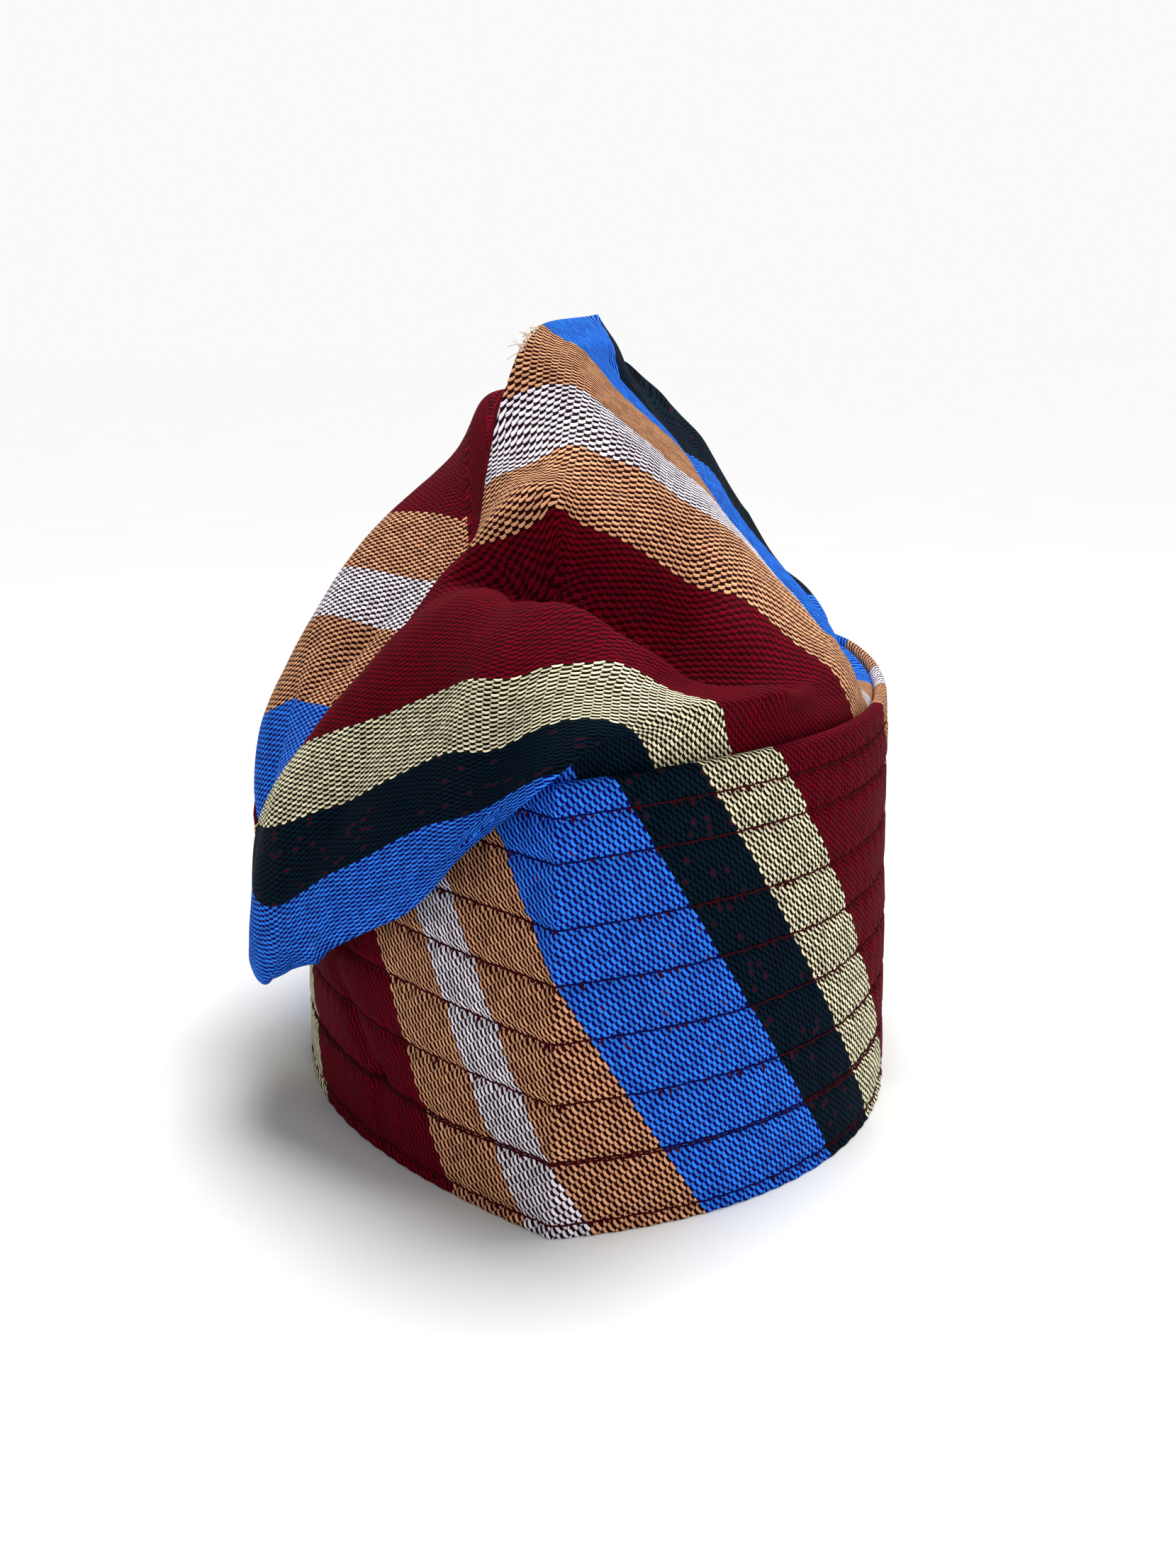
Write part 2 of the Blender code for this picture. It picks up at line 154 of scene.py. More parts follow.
# Light: the world's brightness at the horizon and overhead, and the heights where one ends and one begins
BACKDROP = 0.957
CEILING = 0.15
BACKDROP_TOP = 0.24
CEILING_START = 0.55
Lamp = namedtuple("Lamp", "name kind size energy place target")
LAMPS = (
    Lamp("Key", "SUN", math.radians(38.0), 3.0, (0.12, 0.40, 1.0), (0.0, 0.0, 0.0)),
    Lamp("Top", "AREA", 0.22, 1.3, (0.02, 0.08, 0.60), (0.0, 0.0, 0.15)),
    Lamp("Fill", "AREA", 0.8, 5.0, (1.1, -0.7, 1.1), (0.0, 0.0, 0.1)),
)
FLOOR_REACH = 30.0
FLOOR_DROP = 0.0002

# Camera, fitted to the photograph: metres, degrees, millimetres, and pixels of its height
CAMERA_PLACE = (0.0371, -0.4361, 0.1920)
CAMERA_DOWN = 15.39
CAMERA_TURN = 5.3
SENSOR = 36.0
FOCAL_PIXELS = 2200.0
PICTURE_PIXELS = 2212.0

Plan = namedtuple("Plan", "level side nose_angle width widest")
PLANS = (
    Plan("hem", 1, 15.0, 0.99, -0.175),
    Plan("hem", -1, 32.0, 1.01, 0.015),
    Plan("rim", 1, 33.0, 0.98, -0.04),
    Plan("rim", -1, 43.0, 1.02, 0.0),
)
STITCH_ROWS = (0.025, 0.165, 0.297, 0.434, 0.563, 0.688, 0.83, 0.926)

# Soft creases pressed into the cuff: shares of its height, turns at both ends, width and depth in metres
Dent = namedtuple("Dent", "low high turn_low turn_high width depth")
CUFF_DENTS = (
    Dent(0.17, 0.38, -0.208, -0.295, 0.0045, 0.0015),
    Dent(0.02, 0.21, -0.197, -0.210, 0.0040, 0.0010),
    Dent(0.165, 0.205, -0.211, -0.208, 0.0030, 0.0018),
    Dent(0.55, 0.80, -0.330, -0.290, 0.0080, 0.0008),
    Dent(0.30, 0.62, 0.360, 0.330, 0.0100, 0.0007),
    Dent(0.50, 0.85, 0.760, 0.790, 0.0100, 0.0009),
    Dent(0.20, 0.55, -0.760, -0.720, 0.0090, 0.0008),
)

# Slight waves of the cloth: height and size in metres
Lump = namedtuple("Lump", "height size seed")
CUFF_LUMPS = (Lump(0.0007, 0.035, 1), Lump(0.00025, 0.011, 2))
CROWN_LUMPS = (Lump(0.0008, 0.030, 3), Lump(0.0004, 0.012, 4))

# The crown as part.py has it. Its top seam: share of its length, side, fore, up
SEAM = (
    (0.00, -1.09, -0.18, -0.46), (0.12, -1.04, -0.45, -0.62), (0.24, -1.03, -0.43, -0.29),
    (0.30, -0.94, -0.44, -0.14), (0.39, -0.75, -0.43, 0.03), (0.48, -0.57, -0.40, 0.21),
    (0.56, -0.44, -0.34, 0.36), (0.62, -0.35, -0.31, 0.44), (0.70, -0.33, -0.23, 0.58),
    (0.82, -0.29, -0.12, 0.80), (0.90, -0.22, -0.04, 0.95), (1.00, -0.03, 0.23, 1.00),
)

# Which share of the seam the cloth meets at each turn
SEAM_ENDS = (
    (-0.50, 0.0), (-0.40, 0.07), (-0.30, 0.14), (-0.21, 0.26),
    (-0.12, 0.45), (-0.04, 0.57), (0.04, 0.64), (0.12, 0.72),
    (0.21, 0.80), (0.31, 0.88), (0.41, 0.95), (0.50, 1.0),
)

# Its sections round the cap: turn, out, rise, then side, fore and up of the belly and of the crest
SECTIONS = (
    (-0.50, 0.08, -0.09, -1.13, -0.13, -0.19, -1.16, -0.18, -0.37),
    (-0.45, 0.14, -0.18, -1.09, -0.25, -0.46, -1.11, -0.30, -0.54),
    (-0.40, 0.16, -0.48, -1.04, -0.37, -0.62, -1.06, -0.42, -0.60),
    (-0.30, 0.21, -0.62, -0.94, -0.60, -0.67, -1.03, -0.53, -0.57),
    (-0.21, 0.20, -0.49, -0.74, -0.68, -0.37, -0.92, -0.54, -0.16),
    (-0.12, 0.18, -0.36, -0.43, -0.77, -0.08, -0.56, -0.51, 0.22),
    (-0.05, 0.16, -0.17, -0.19, -0.83, 0.12, -0.37, -0.46, 0.41),
    (0.02, 0.09, -0.02, -0.01, -0.84, 0.19, -0.23, -0.46, 0.48),
    (0.08, 0.05, 0.02, 0.11, -0.79, 0.20, -0.11, -0.43, 0.55),
    (0.15, 0.00, 0.03, 0.24, -0.70, 0.17, -0.01, -0.36, 0.56),
    (0.23, -0.02, 0.03, 0.39, -0.59, 0.13, 0.11, -0.26, 0.58),
    (0.32, -0.06, 0.05, 0.54, -0.41, 0.20, 0.19, -0.18, 0.66),
    (0.41, -0.11, 0.05, 0.64, -0.19, 0.23, 0.20, -0.06, 0.74),
    (0.52, -0.15, 0.06, 0.57, 0.17, 0.35, 0.18, 0.17, 0.73),
    (0.64, -0.12, 0.11, 0.50, 0.60, 0.36, 0.18, 0.45, 0.77),
    (0.78, -0.10, 0.13, 0.29, 0.80, 0.41, -0.09, 0.45, 0.79),
    (0.92, -0.06, 0.13, -0.09, 0.87, 0.42, -0.38, 0.13, 0.80),
    (-0.93, -0.06, 0.13, -0.49, 0.76, 0.40, -0.52, 0.13, 0.62),
    (-0.80, -0.05, 0.11, -0.78, 0.45, 0.26, -0.80, -0.01, 0.41),
    (-0.68, -0.01, 0.11, -0.96, 0.17, 0.15, -0.97, -0.12, 0.18),
    (-0.58, 0.05, -0.05, -1.10, 0.03, 0.01, -1.13, -0.20, -0.13),
)

# Its main folds, each along a line of points: turn, way, width, height
FOLDS = {
    "valley under the knee": (
        (-0.05, 0.96, 0.08, -0.05), (-0.02, 0.84, 0.09, -0.10), (0.04, 0.72, 0.10, -0.14),
        (0.10, 0.62, 0.10, -0.14), (0.17, 0.54, 0.10, -0.11), (0.24, 0.46, 0.10, -0.07),
        (0.29, 0.30, 0.09, -0.05), (0.30, 0.12, 0.09, -0.03),
    ),
    "roll under the valley": (
        (-0.15, 0.80, 0.10, 0.02), (-0.03, 0.55, 0.10, 0.04), (0.10, 0.38, 0.10, 0.03),
    ),
    "ridge from the seam over the knee": (
        (0.50, 0.97, 0.10, 0.03), (0.10, 0.77, 0.10, 0.04), (-0.01, 0.94, 0.10, 0.03),
    ),
}

# Sharper creases of the soft crown that the solids don't have, in the same terms
CREASES = {
    "bottom of the valley": (
        (-0.06, 0.97, 0.02, -0.01), (-0.03, 0.87, 0.04, -0.05), (0.03, 0.71, 0.07, -0.10),
        (0.09, 0.60, 0.08, -0.13), (0.17, 0.515, 0.08, -0.13), (0.235, 0.44, 0.07, -0.09),
        (0.265, 0.34, 0.05, -0.05), (0.275, 0.22, 0.05, -0.03),
    ),
    "lip of the roll": (
        (-0.04, 0.80, 0.035, 0.01), (0.02, 0.60, 0.045, 0.035), (0.08, 0.49, 0.05, 0.045),
        (0.16, 0.41, 0.05, 0.045), (0.215, 0.34, 0.05, 0.04), (0.235, 0.24, 0.05, 0.03),
        (0.24, 0.14, 0.05, 0.01),
    ),
    "peak of the knee": (
        (0.10, 0.80, 0.06, 0.0), (0.10, 0.74, 0.06, 0.016), (0.06, 0.78, 0.05, 0.012),
        (0.02, 0.86, 0.04, 0.005),
    ),
    "lower edge of the lobe": (
        (-0.28, 0.60, 0.07, 0.01), (-0.245, 0.53, 0.09, 0.045), (-0.20, 0.45, 0.08, 0.02),
    ),
    "tip of the lobe": (
        (-0.345, 0.72, 0.07, -0.05), (-0.315, 0.71, 0.07, -0.05),
    ),
    "left of the lobe": (
        (-0.44, 0.86, 0.06, 0.02), (-0.40, 0.78, 0.07, 0.035),
    ),
    "dent in the lobe": (
        (-0.108, 0.73, 0.035, -0.005), (-0.090, 0.63, 0.045, -0.028), (-0.078, 0.54, 0.05, -0.008),
    ),
    "shallow fold of the lobe": (
        (-0.24, 0.72, 0.04, -0.004), (-0.185, 0.67, 0.05, -0.026), (-0.145, 0.70, 0.045, -0.014),
    ),
    "pucker beside the lobe": (
        (-0.885, 0.94, 0.025, -0.006), (-0.85, 0.915, 0.03, -0.026), (-0.81, 0.89, 0.03, -0.012),
    ),
    "behind the top seam": (
        (0.60, 0.93, 0.06, 0.0), (0.72, 0.93, 0.06, 0.05), (0.84, 0.92, 0.05, 0.04),
        (0.92, 0.88, 0.04, 0.0),
    ),
    "groove behind the front edge": (
        (0.42, 0.86, 0.03, -0.02), (0.44, 0.75, 0.045, -0.06), (0.48, 0.62, 0.05, -0.08),
        (0.54, 0.47, 0.055, -0.09), (0.54, 0.34, 0.055, -0.09), (0.51, 0.22, 0.05, -0.08),
        (0.48, 0.10, 0.05, -0.06),
    ),
    "outer hump": (
        (0.58, 0.84, 0.05, 0.02), (0.60, 0.68, 0.06, 0.01), (0.66, 0.50, 0.07, 0.05),
        (0.66, 0.40, 0.06, 0.05), (0.63, 0.26, 0.06, -0.03), (0.58, 0.12, 0.06, -0.06),
    ),
    "gap inside the far rim": (
        (0.46, 0.05, 0.04, -0.02), (0.54, 0.06, 0.07, -0.08), (0.68, 0.06, 0.07, -0.08),
        (0.78, 0.05, 0.05, -0.03),
    ),
}

# How far the soft cloth has slipped across its stripes: turn, then millimetres at five heights up to the seam
SLIPS = (
    (-0.49, 0, 0, 1, 1, 0), (-0.40, 0, 2, 4, 4, 3), (-0.32, 0, 2, 7, 10, 8),
    (-0.25, 0, 1, 10, 17, 13), (-0.18, -2, -3, 4, 14, 19), (-0.10, -5, -11, -1, 11, 9),
    (-0.02, -5, -13, 9, 9, 3), (0.06, -4, -3, 8, 1, 1), (0.10, -3, -4, 3, -4.5, -1),
    (0.14, -2, -5, -1, -4.5, -2), (0.22, 1, -1, -2, -10, -12), (0.30, 5, 4, -2, -11, -18),
    (0.36, 9, 2, -8, 5, -16), (0.42, 16, 0, -12, 26, -6), (0.48, 28, -4, -14, 30, 0),
    (0.54, 34, 14, -4, 28, 1), (0.60, 30, 22, 6, 18, 3), (0.75, 18, 14, 8, 9, 8),
    (0.84, 11, 11, 9, 16, 22), (0.92, 6, 9, 10, 20, 30), (0.97, 4, 7, 10, 6, 4),
    (-0.93, 2, 4, 9, 5, -3), (-0.82, 0, 3, 9, 5, -1), (-0.70, 0, 2, 5, 4, 1),
    (-0.60, 0, 1, 2, 2, 1),
)


def ease(x):
    x = np.clip(x, 0.0, 1.0)
    return x * x * (3.0 - 2.0 * x)


def unit(vectors):
    return vectors / np.maximum(np.linalg.norm(vectors, axis=-1, keepdims=True), 1e-9)


def faded(share, at_start, at_end):
    """1 along a way from 0 to 1, easing to 0 over a share of it at each end."""
    return ease(share / at_start) * ease((1.0 - share) / at_end)


def wrap_turn(turn):
    return (np.asarray(turn, float) + 1.0) % 2.0 - 1.0


def curve_through(knots, points, at, period=None):
    """Catmull-Rom curve through points at knots, read at the given values."""
    knots = np.asarray(knots, float)
    points = np.asarray(points, float)
    if period:
        knots = np.concatenate([knots[-2:] - period, knots, knots[:2] + period])
        points = np.concatenate([points[-2:], points, points[:2]])
    wide = (-1,) + (1,) * (points.ndim - 1)
    step = np.diff(knots).reshape(wide)
    slope = np.diff(points, axis=0) / step
    tangent = np.empty_like(points)
    tangent[1:-1] = (slope[:-1] * step[1:] + slope[1:] * step[:-1]) / (step[:-1] + step[1:])
    tangent[0] = slope[0]
    tangent[-1] = slope[-1]
    at = np.asarray(at, float)
    i = np.clip(np.searchsorted(knots, at, side="right") - 1, 0, len(knots) - 2)
    span = (knots[i + 1] - knots[i]).reshape(wide)
    s = (at - knots[i]).reshape(wide) / span
    return (
        (2 * s**3 - 3 * s**2 + 1) * points[i]
        + (s**3 - 2 * s**2 + s) * span * tangent[i]
        + (3 * s**2 - 2 * s**3) * points[i + 1]
        + (s**3 - s**2) * span * tangent[i + 1]
    )


def bezier(a, b, c, d, count=60):
    t = np.linspace(0.0, 1.0, count)[:, None]
    return (1 - t) ** 3 * a + 3 * (1 - t) ** 2 * t * b + 3 * (1 - t) * t**2 * c + t**3 * d


def plan_side(row):
    """One side of the cuff's outline, nose to back, and the length along it."""
    lean = LEAN if row.level == "rim" else 0.0
    nose = np.array([0.0, lean - FRONT_LENGTH])
    wide = np.array([row.width * HALF_WIDTH, lean + row.widest * FRONT_LENGTH])
    back = np.array([0.0, lean + BACK_LENGTH])
    pull = NOSE_PULL * np.linalg.norm(wide - nose)
    angle = math.radians(row.nose_angle)
    along_nose = np.array([math.cos(angle), math.sin(angle)])
    front_half = bezier(nose, nose + pull * along_nose, wide - (0.0, pull), wide)
    round_side = wide + (0.0, ROUND_PULL * (back[1] - wide[1]))
    back_half = bezier(wide, round_side, (ROUND_PULL * wide[0], back[1]), back)
    outline = np.vstack([front_half, back_half[1:]]) * (row.side, 1.0)
    length = np.concatenate([[0.0], np.cumsum(np.linalg.norm(np.diff(outline, axis=0), axis=1))])
    return length, outline


def plan_point(level, turn):
    """Points of the cuff's outline at the given turns."""
    turn = wrap_turn(turn)
    points = np.zeros((len(turn), 2))
    for row in PLANS:
        if row.level == level:
            here = turn * row.side >= 0.0
            length, outline = plan_side(row)
            way = np.abs(turn[here]) * length[-1]
            for axis in (0, 1):
                points[here, axis] = np.interp(way, length, outline[:, axis])
    return points


def outward(points):
    """Outward offsets of a closed ring of points seen from above, mitred at its corners."""
    ahead = unit(np.roll(points, -1, axis=0) - points)
    normal_ahead = np.stack([ahead[:, 1], -ahead[:, 0]], axis=1)
    normal = unit(normal_ahead + np.roll(normal_ahead, 1, axis=0))
    mitre = 1.0 / np.sum(normal * normal_ahead, axis=1, keepdims=True)
    return normal * np.minimum(mitre, MITRE_LIMIT)


def rim_height(turn):
    return BAND_HEIGHT + RIM_RISE * ease((np.abs(wrap_turn(turn)) - RIM_RISE_START) / RIM_RISE_SPREAD)


def turns(count):
    """Turns all round the cap, starting at the left side."""
    return wrap_turn(-0.5 + 2.0 * np.arange(count) / count)


def band_ring(turn, share, inward):
    """A ring of the cuff at a share of its height, moved inward by a distance or distances."""
    ring = plan_point("hem", turn) * (1.0 - share) + plan_point("rim", turn) * share
    ring = ring - outward(ring) * np.reshape(inward, (-1, 1))
    return np.column_stack([ring, rim_height(turn) * share])


def place(side, fore, up):
    length = np.where(fore < 0.0, FRONT_LENGTH, BACK_LENGTH)
    return np.stack([side * HALF_WIDTH, fore * length, BAND_HEIGHT + up * CROWN_RISE], axis=-1)


def loop_of(turn):
    """Place round the crown from 0 to 1, starting at the left side."""
    return (wrap_turn(turn) + 0.5) % 2.0 / 2.0


def seam_share(turn):
    mirrored = 0.5 - np.abs(loop_of(turn) - 0.5)
    ends = np.array(SEAM_ENDS)
    return np.clip(curve_through(loop_of(ends[:, 0] - 1e-9), ends[:, 1], mirrored), 0.0, 1.0)


def seam_point(turn):
    """Where the crown's cloth at each turn meets the top seam."""
    table = np.array(SEAM)
    return curve_through(table[:, 0], place(*table[:, 1:].T), seam_share(turn))


def crown_controls(turn):
    """The points that each section of the crown runs through, from its tuck to the seam."""
    table = np.array(SECTIONS)
    knots = loop_of(table[:, 0])
    loop = loop_of(turn)
    out, rise = curve_through(knots, table[:, 1:3], loop, period=1.0).T
    belly = curve_through(knots, place(*table[:, 3:6].T), loop, period=1.0)
    crest = curve_through(knots, place(*table[:, 6:9].T), loop, period=1.0)
    inside = BAND_THICKNESS + CLEARANCE
    top_share = 1.0 - 0.5 * BAND_THICKNESS / BAND_HEIGHT
    tuck = band_ring(turn, 1.0 - TUCK_DEPTH / BAND_HEIGHT, inside)
    rim = band_ring(turn, top_share, inside)
    ring = plan_point("rim", turn)
    away = np.column_stack([outward(ring), np.zeros(len(ring))])
    edge = np.column_stack([ring, rim_height(turn)])
    out = (out * HALF_WIDTH)[:, None]
    up = np.array([0.0, 0.0, 1.0])
    low = edge + away * out + up * (rise * CROWN_RISE)[:, None]
    above_roll = rim_height(turn) + LIFT_PAST_ROLL * ROLL_LIFT
    low[:, 2] += ease(1.0 + rise / HANG_START) * np.maximum(above_roll - low[:, 2], 0.0)
    hang = ease((out + inside) / (2.0 * inside))
    over = rim + away * 0.5 * inside * hang + away * np.minimum(out + inside, 0.0) * 0.5
    lift = ROLL_LIFT * (1.0 - TIGHTER_ROLL * ease(-rise / HANG_FULL))
    over = over + up * (lift + 0.5 * BAND_THICKNESS)[:, None]
    return np.stack([tuck, rim, over, low, belly, crest, seam_point(turn)])


def grid_normals(grid, passes=2):
    """Outward normals of the crown's sheet, evened out."""
    across = np.roll(grid, -1, axis=1) - np.roll(grid, 1, axis=1)
    along = np.gradient(grid, axis=0)
    normal = unit(np.cross(across, along))
    for _ in range(passes):
        normal += 0.5 * (np.roll(normal, 1, axis=1) + np.roll(normal, -1, axis=1))
        normal[1:-1] += 0.5 * (normal[:-2] + normal[2:])
        normal = unit(normal)
    return normal


def fold_depth(fold_points, here, scale, power):
    """How far one fold moves each place of the sheet, by its distance from the fold's line."""
    nearest = np.full(here.shape[:2], np.inf)
    depth = np.zeros(here.shape[:2])
    for (*start, width, height), (*end, end_width, end_height) in zip(fold_points, fold_points[1:]):
        start = scale * start
        line = scale * end - start
        share = np.clip(np.sum((here - start) * line, axis=-1) / np.sum(line**2), 0.0, 1.0)
        off = np.linalg.norm(here - start - share[..., None] * line, axis=-1)
        off /= (width + share * (end_width - width)) * CROWN_RISE
        height = (height + share * (end_height - height)) * CROWN_RISE
        closer = off < nearest
        nearest = np.where(closer, off, nearest)
        depth = np.where(closer, height * np.exp(-(off**power)), depth)
    return depth


def fold_shift(folds, turn, way, power=2.0, at_rim=FADE_AT_RIM):
    """How far ridges and valleys move each place of the crown along its normal."""
    scale = np.array([0.25 * math.pi * (BACK_LENGTH + FRONT_LENGTH), 1.5 * CROWN_RISE])
    here = np.stack(np.broadcast_arrays(turn[None, :], way[:, None]), axis=-1) * scale
    shift = sum(fold_depth(fold_points, here, scale, power) for fold_points in folds.values())
    return shift * faded(way, at_rim, FADE_AT_SEAM)[:, None]


def even_out(grid, passes=2):
    """The sheet with its sharpest kinks eased, its rim and seam left in place."""
    for _ in range(passes):
        beside = 0.5 * (np.roll(grid, 1, axis=1) + np.roll(grid, -1, axis=1))
        above_below = 0.5 * (grid[:-2] + grid[2:])
        eased = 0.5 * grid[1:-1] + 0.25 * (beside[1:-1] + above_below)
        grid = np.concatenate([grid[:1], eased, grid[-1:]])
    return grid


def crown_sheet(turn, steps):
    """The crown's outer face as the solid has it: rows from the rim up to the seam."""
    controls = crown_controls(turn)
    chord = np.linalg.norm(np.diff(controls, axis=0), axis=-1) ** CHORD_POWER
    knots = np.vstack([np.zeros(len(turn)), np.cumsum(chord, axis=0)])
    way = np.linspace(0.0, 1.0, steps)
    rows = np.empty((steps, len(turn), 3))
    for i in range(len(turn)):
        at = knots[1, i] + (knots[-1, i] - knots[1, i]) * way
        rows[:, i] = curve_through(knots[:, i], controls[:, i], at)
    rows = even_out(rows)
    return rows + grid_normals(rows, FOLD_EVENING) * fold_shift(FOLDS, turn, way)[..., None]


def smooth_noise(points, size, seed):
    """Smooth random values, about -1 to 1, at points of the cloth."""
    offset = Vector((seed * 7.3, seed * 3.1, seed * 5.7))
    values = [noise.noise(Vector(p) + offset) for p in points.reshape(-1, 3) / size]
    return np.array(values).reshape(points.shape[:-1])


def waves(points, table):
    return sum(lump.height * smooth_noise(points, lump.size, lump.seed) for lump in table)


def finer(grid, by, per, closed=False):
    """A grid with more rows and columns, smoothly through the given ones. It may close on itself across."""
    rows = np.arange(len(grid), dtype=float)
    grid = curve_through(rows, grid, np.linspace(0, rows[-1], (len(rows) - 1) * by + 1))
    turned = grid.transpose(1, 0, 2)
    columns = np.arange(len(turned), dtype=float)
    if closed:
        at = np.arange(len(columns) * per) / per
    else:
        at = np.linspace(0, columns[-1], (len(columns) - 1) * per + 1)
    return curve_through(columns, turned, at, len(columns) if closed else None).transpose(1, 0, 2)


def flatten(grid, start, rounds=60):
    """Flat cloth coordinates of an open sheet that keep its own lengths and angles as nearly as can be.

    It begins at the given coordinates, and in each round turns every triangle's true flat shape to
    where its corners now lie, then joins the triangles again by least squares.
    """
    rows, columns = grid.shape[:2]
    number = np.arange(rows * columns).reshape(rows, columns)
    a, b = number[:-1, :-1].ravel(), number[:-1, 1:].ravel()
    c, d = number[1:, 1:].ravel(), number[1:, :-1].ravel()
    corners = np.concatenate([np.stack([a, b, c], axis=1), np.stack([a, c, d], axis=1)])
    points = grid.reshape(-1, 3)[corners]
    first = points[:, 1] - points[:, 0]
    second = points[:, 2] - points[:, 0]
    base = np.linalg.norm(first, axis=1)
    along = np.sum(second * first, axis=1) / base
    height = np.linalg.norm(np.cross(first, second), axis=1) / base
    flat = np.zeros((len(corners), 3, 2))
    flat[:, 1, 0] = base
    flat[:, 2] = np.stack([along, height], axis=1)
    count = rows * columns
    joined = np.zeros((count, count))
    edges = []
    for k in range(3):
        i, j = (k + 1) % 3, (k + 2) % 3
        u, v = flat[:, i] - flat[:, k], flat[:, j] - flat[:, k]
        turned = np.abs(u[:, 0] * v[:, 1] - u[:, 1] * v[:, 0])
        weight = np.clip(np.sum(u * v, axis=1) / np.maximum(turned, 1e-12), 0.05, 4.0)
        start_of, end_of = corners[:, i], corners[:, j]
        edges.append((start_of, end_of, flat[:, i] - flat[:, j], weight))
        for p, q in ((start_of, end_of), (end_of, start_of)):
            np.add.at(joined, (p, p), weight)
            np.add.at(joined, (p, q), -weight)
    joined[0, 0] += 1.0
    inverse = np.linalg.inv(joined)
    places = start.reshape(-1, 2).copy()
    origin = places[0].copy()
    for _ in range(rounds):
        match = sum(
            weight[:, None, None] * (places[p] - places[q])[:, :, None] * edge[:, None, :]
            for p, q, edge, weight in edges
        )
        angle = np.arctan2(match[:, 1, 0] - match[:, 0, 1], match[:, 0, 0] + match[:, 1, 1])
        cos, sin = np.cos(angle), np.sin(angle)
        wanted = np.zeros_like(places)
        wanted[0] = origin
        for p, q, edge, weight in edges:
            x, y = edge.T
            turned = np.stack([cos * x - sin * y, sin * x + cos * y], axis=1)
            np.add.at(wanted, p, weight[:, None] * turned)
            np.add.at(wanted, q, -weight[:, None] * turned)
        places = inverse @ wanted
    return places.reshape(rows, columns, 2)


def laid_on(places, goal):
    """Flat coordinates turned and moved as a whole to lie best on the goal's."""
    middle, goal_middle = places.mean(axis=(0, 1)), goal.mean(axis=(0, 1))
    match = np.einsum("rci,rcj->ij", goal - goal_middle, places - middle)
    angle = math.atan2(match[1, 0] - match[0, 1], match[0, 0] + match[1, 1])
    turned = np.array([[math.cos(angle), -math.sin(angle)], [math.sin(angle), math.cos(angle)]])
    return turned, goal_middle - turned @ middle


def up_shares(sheet):
    """How far up the cloth each row of the crown lies, as a share of its whole depth there."""
    step = np.linalg.norm(np.diff(sheet, axis=0), axis=-1)
    far = np.concatenate([np.zeros((1, sheet.shape[1])), np.cumsum(step, axis=0)])
    return far / far[-1]


def crown_flat(sheet):
    """Flat places (round the cap, up) of the crown's coarse rows and columns, panel by panel.

    The first panel runs from the left side over the front and right to the back, the second from
    the back to the left side. Each has both its end columns.
    """
    share = up_shares(sheet)
    end = seam_share(turns(COARSE_TURNS))
    middle = 3 * COARSE_TURNS // 4
    panels = []
    for columns, first_turn, seen in (
        (np.arange(middle + 1), -0.5, SEEN_COLUMNS),
        (np.arange(middle, COARSE_TURNS + 1), -1.0, slice(None)),
    ):
        at = columns % COARSE_TURNS
        here = first_turn + 2.0 * (columns - columns[0]) / COARSE_TURNS
        rim = seam = here * HALF_GIRTH
        if first_turn == -0.5:
            seam = np.where(loop_of(here) <= 0.5, end[at] - 0.5, 1.5 - end[at]) * HALF_GIRTH
        up = share[:, at]
        start = np.stack([rim * (1.0 - up) + seam * up, up * CROWN_DEPTH], axis=-1)
        flat = flatten(sheet[:, at], start)
        turned, moved = laid_on(flat[:, seen], start[:, seen])
        panels.append(flat @ turned.T + moved)
    return panels


def add_object(name, data):
    thing = bpy.data.objects.new(name, data)
    bpy.context.collection.objects.link(thing)
    return thing


def add_piece(name, mesh, material):
    mesh.shade_smooth()
    mesh.materials.append(material)
    piece = add_object(name, mesh)
    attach(piece, "root")
    return piece


def sheet_object(name, grid, cloth_places, material):
    """A mesh from a grid of points that closes on itself across, with the cloth's coordinates as UVs."""
    rows, count = grid.shape[:2]
    r = np.repeat(np.arange(rows - 1), count)
    i = np.tile(np.arange(count), rows - 1)
    low, high, beside = r * count, (r + 1) * count, (i + 1) % count
    faces = np.stack([low + i, low + beside, high + beside, high + i], axis=1)
    mesh = bpy.data.meshes.new(name)
    mesh.from_pydata(grid.reshape(-1, 3).tolist(), [], faces.tolist())
    left, right = cloth_places
    places = np.stack([left[r, i], right[r, i], right[r + 1, i], left[r + 1, i]], axis=1)
    mesh.uv_layers.new(name="cloth").data.foreach_set("uv", places.reshape(-1))
    mesh.validate()
    return add_piece(name, mesh, material)


def slanted(around, up, start):
    """Across-stripe and along-stripe coordinates of a place on the flat cloth."""
    across = around * math.sin(STRIPE_SLANT) + up * math.cos(STRIPE_SLANT) + start
    along = -around * math.cos(STRIPE_SLANT) + up * math.sin(STRIPE_SLANT)
    return np.stack([across, along], axis=-1)


# Material


def put(tree, socket, value):
    """A value, or another node's output, in a node's input."""
    if isinstance(value, bpy.types.NodeSocket):
        tree.links.new(value, socket)
    elif socket.type == "RGBA" and len(value) == 3:
        socket.default_value = (*value, 1.0)
    else:
        socket.default_value = value


def add_node(tree, kind, inputs=(), **settings):
    node = tree.nodes.new("ShaderNode" + kind)
    for name, value in settings.items():
        setattr(node, name, value)
    for name, value in dict(inputs).items():
        put(tree, node.inputs[name], value)
    return node


def smooth_step(tree, value, low, high, at_low, at_high):
    """A node's output that eases from one value to another as the given value goes from low to high."""
    inputs = {"Value": value, "From Min": low, "From Max": high, "To Min": at_low, "To Max": at_high}
    return add_node(tree, "MapRange", inputs, interpolation_type="SMOOTHSTEP").outputs[0]


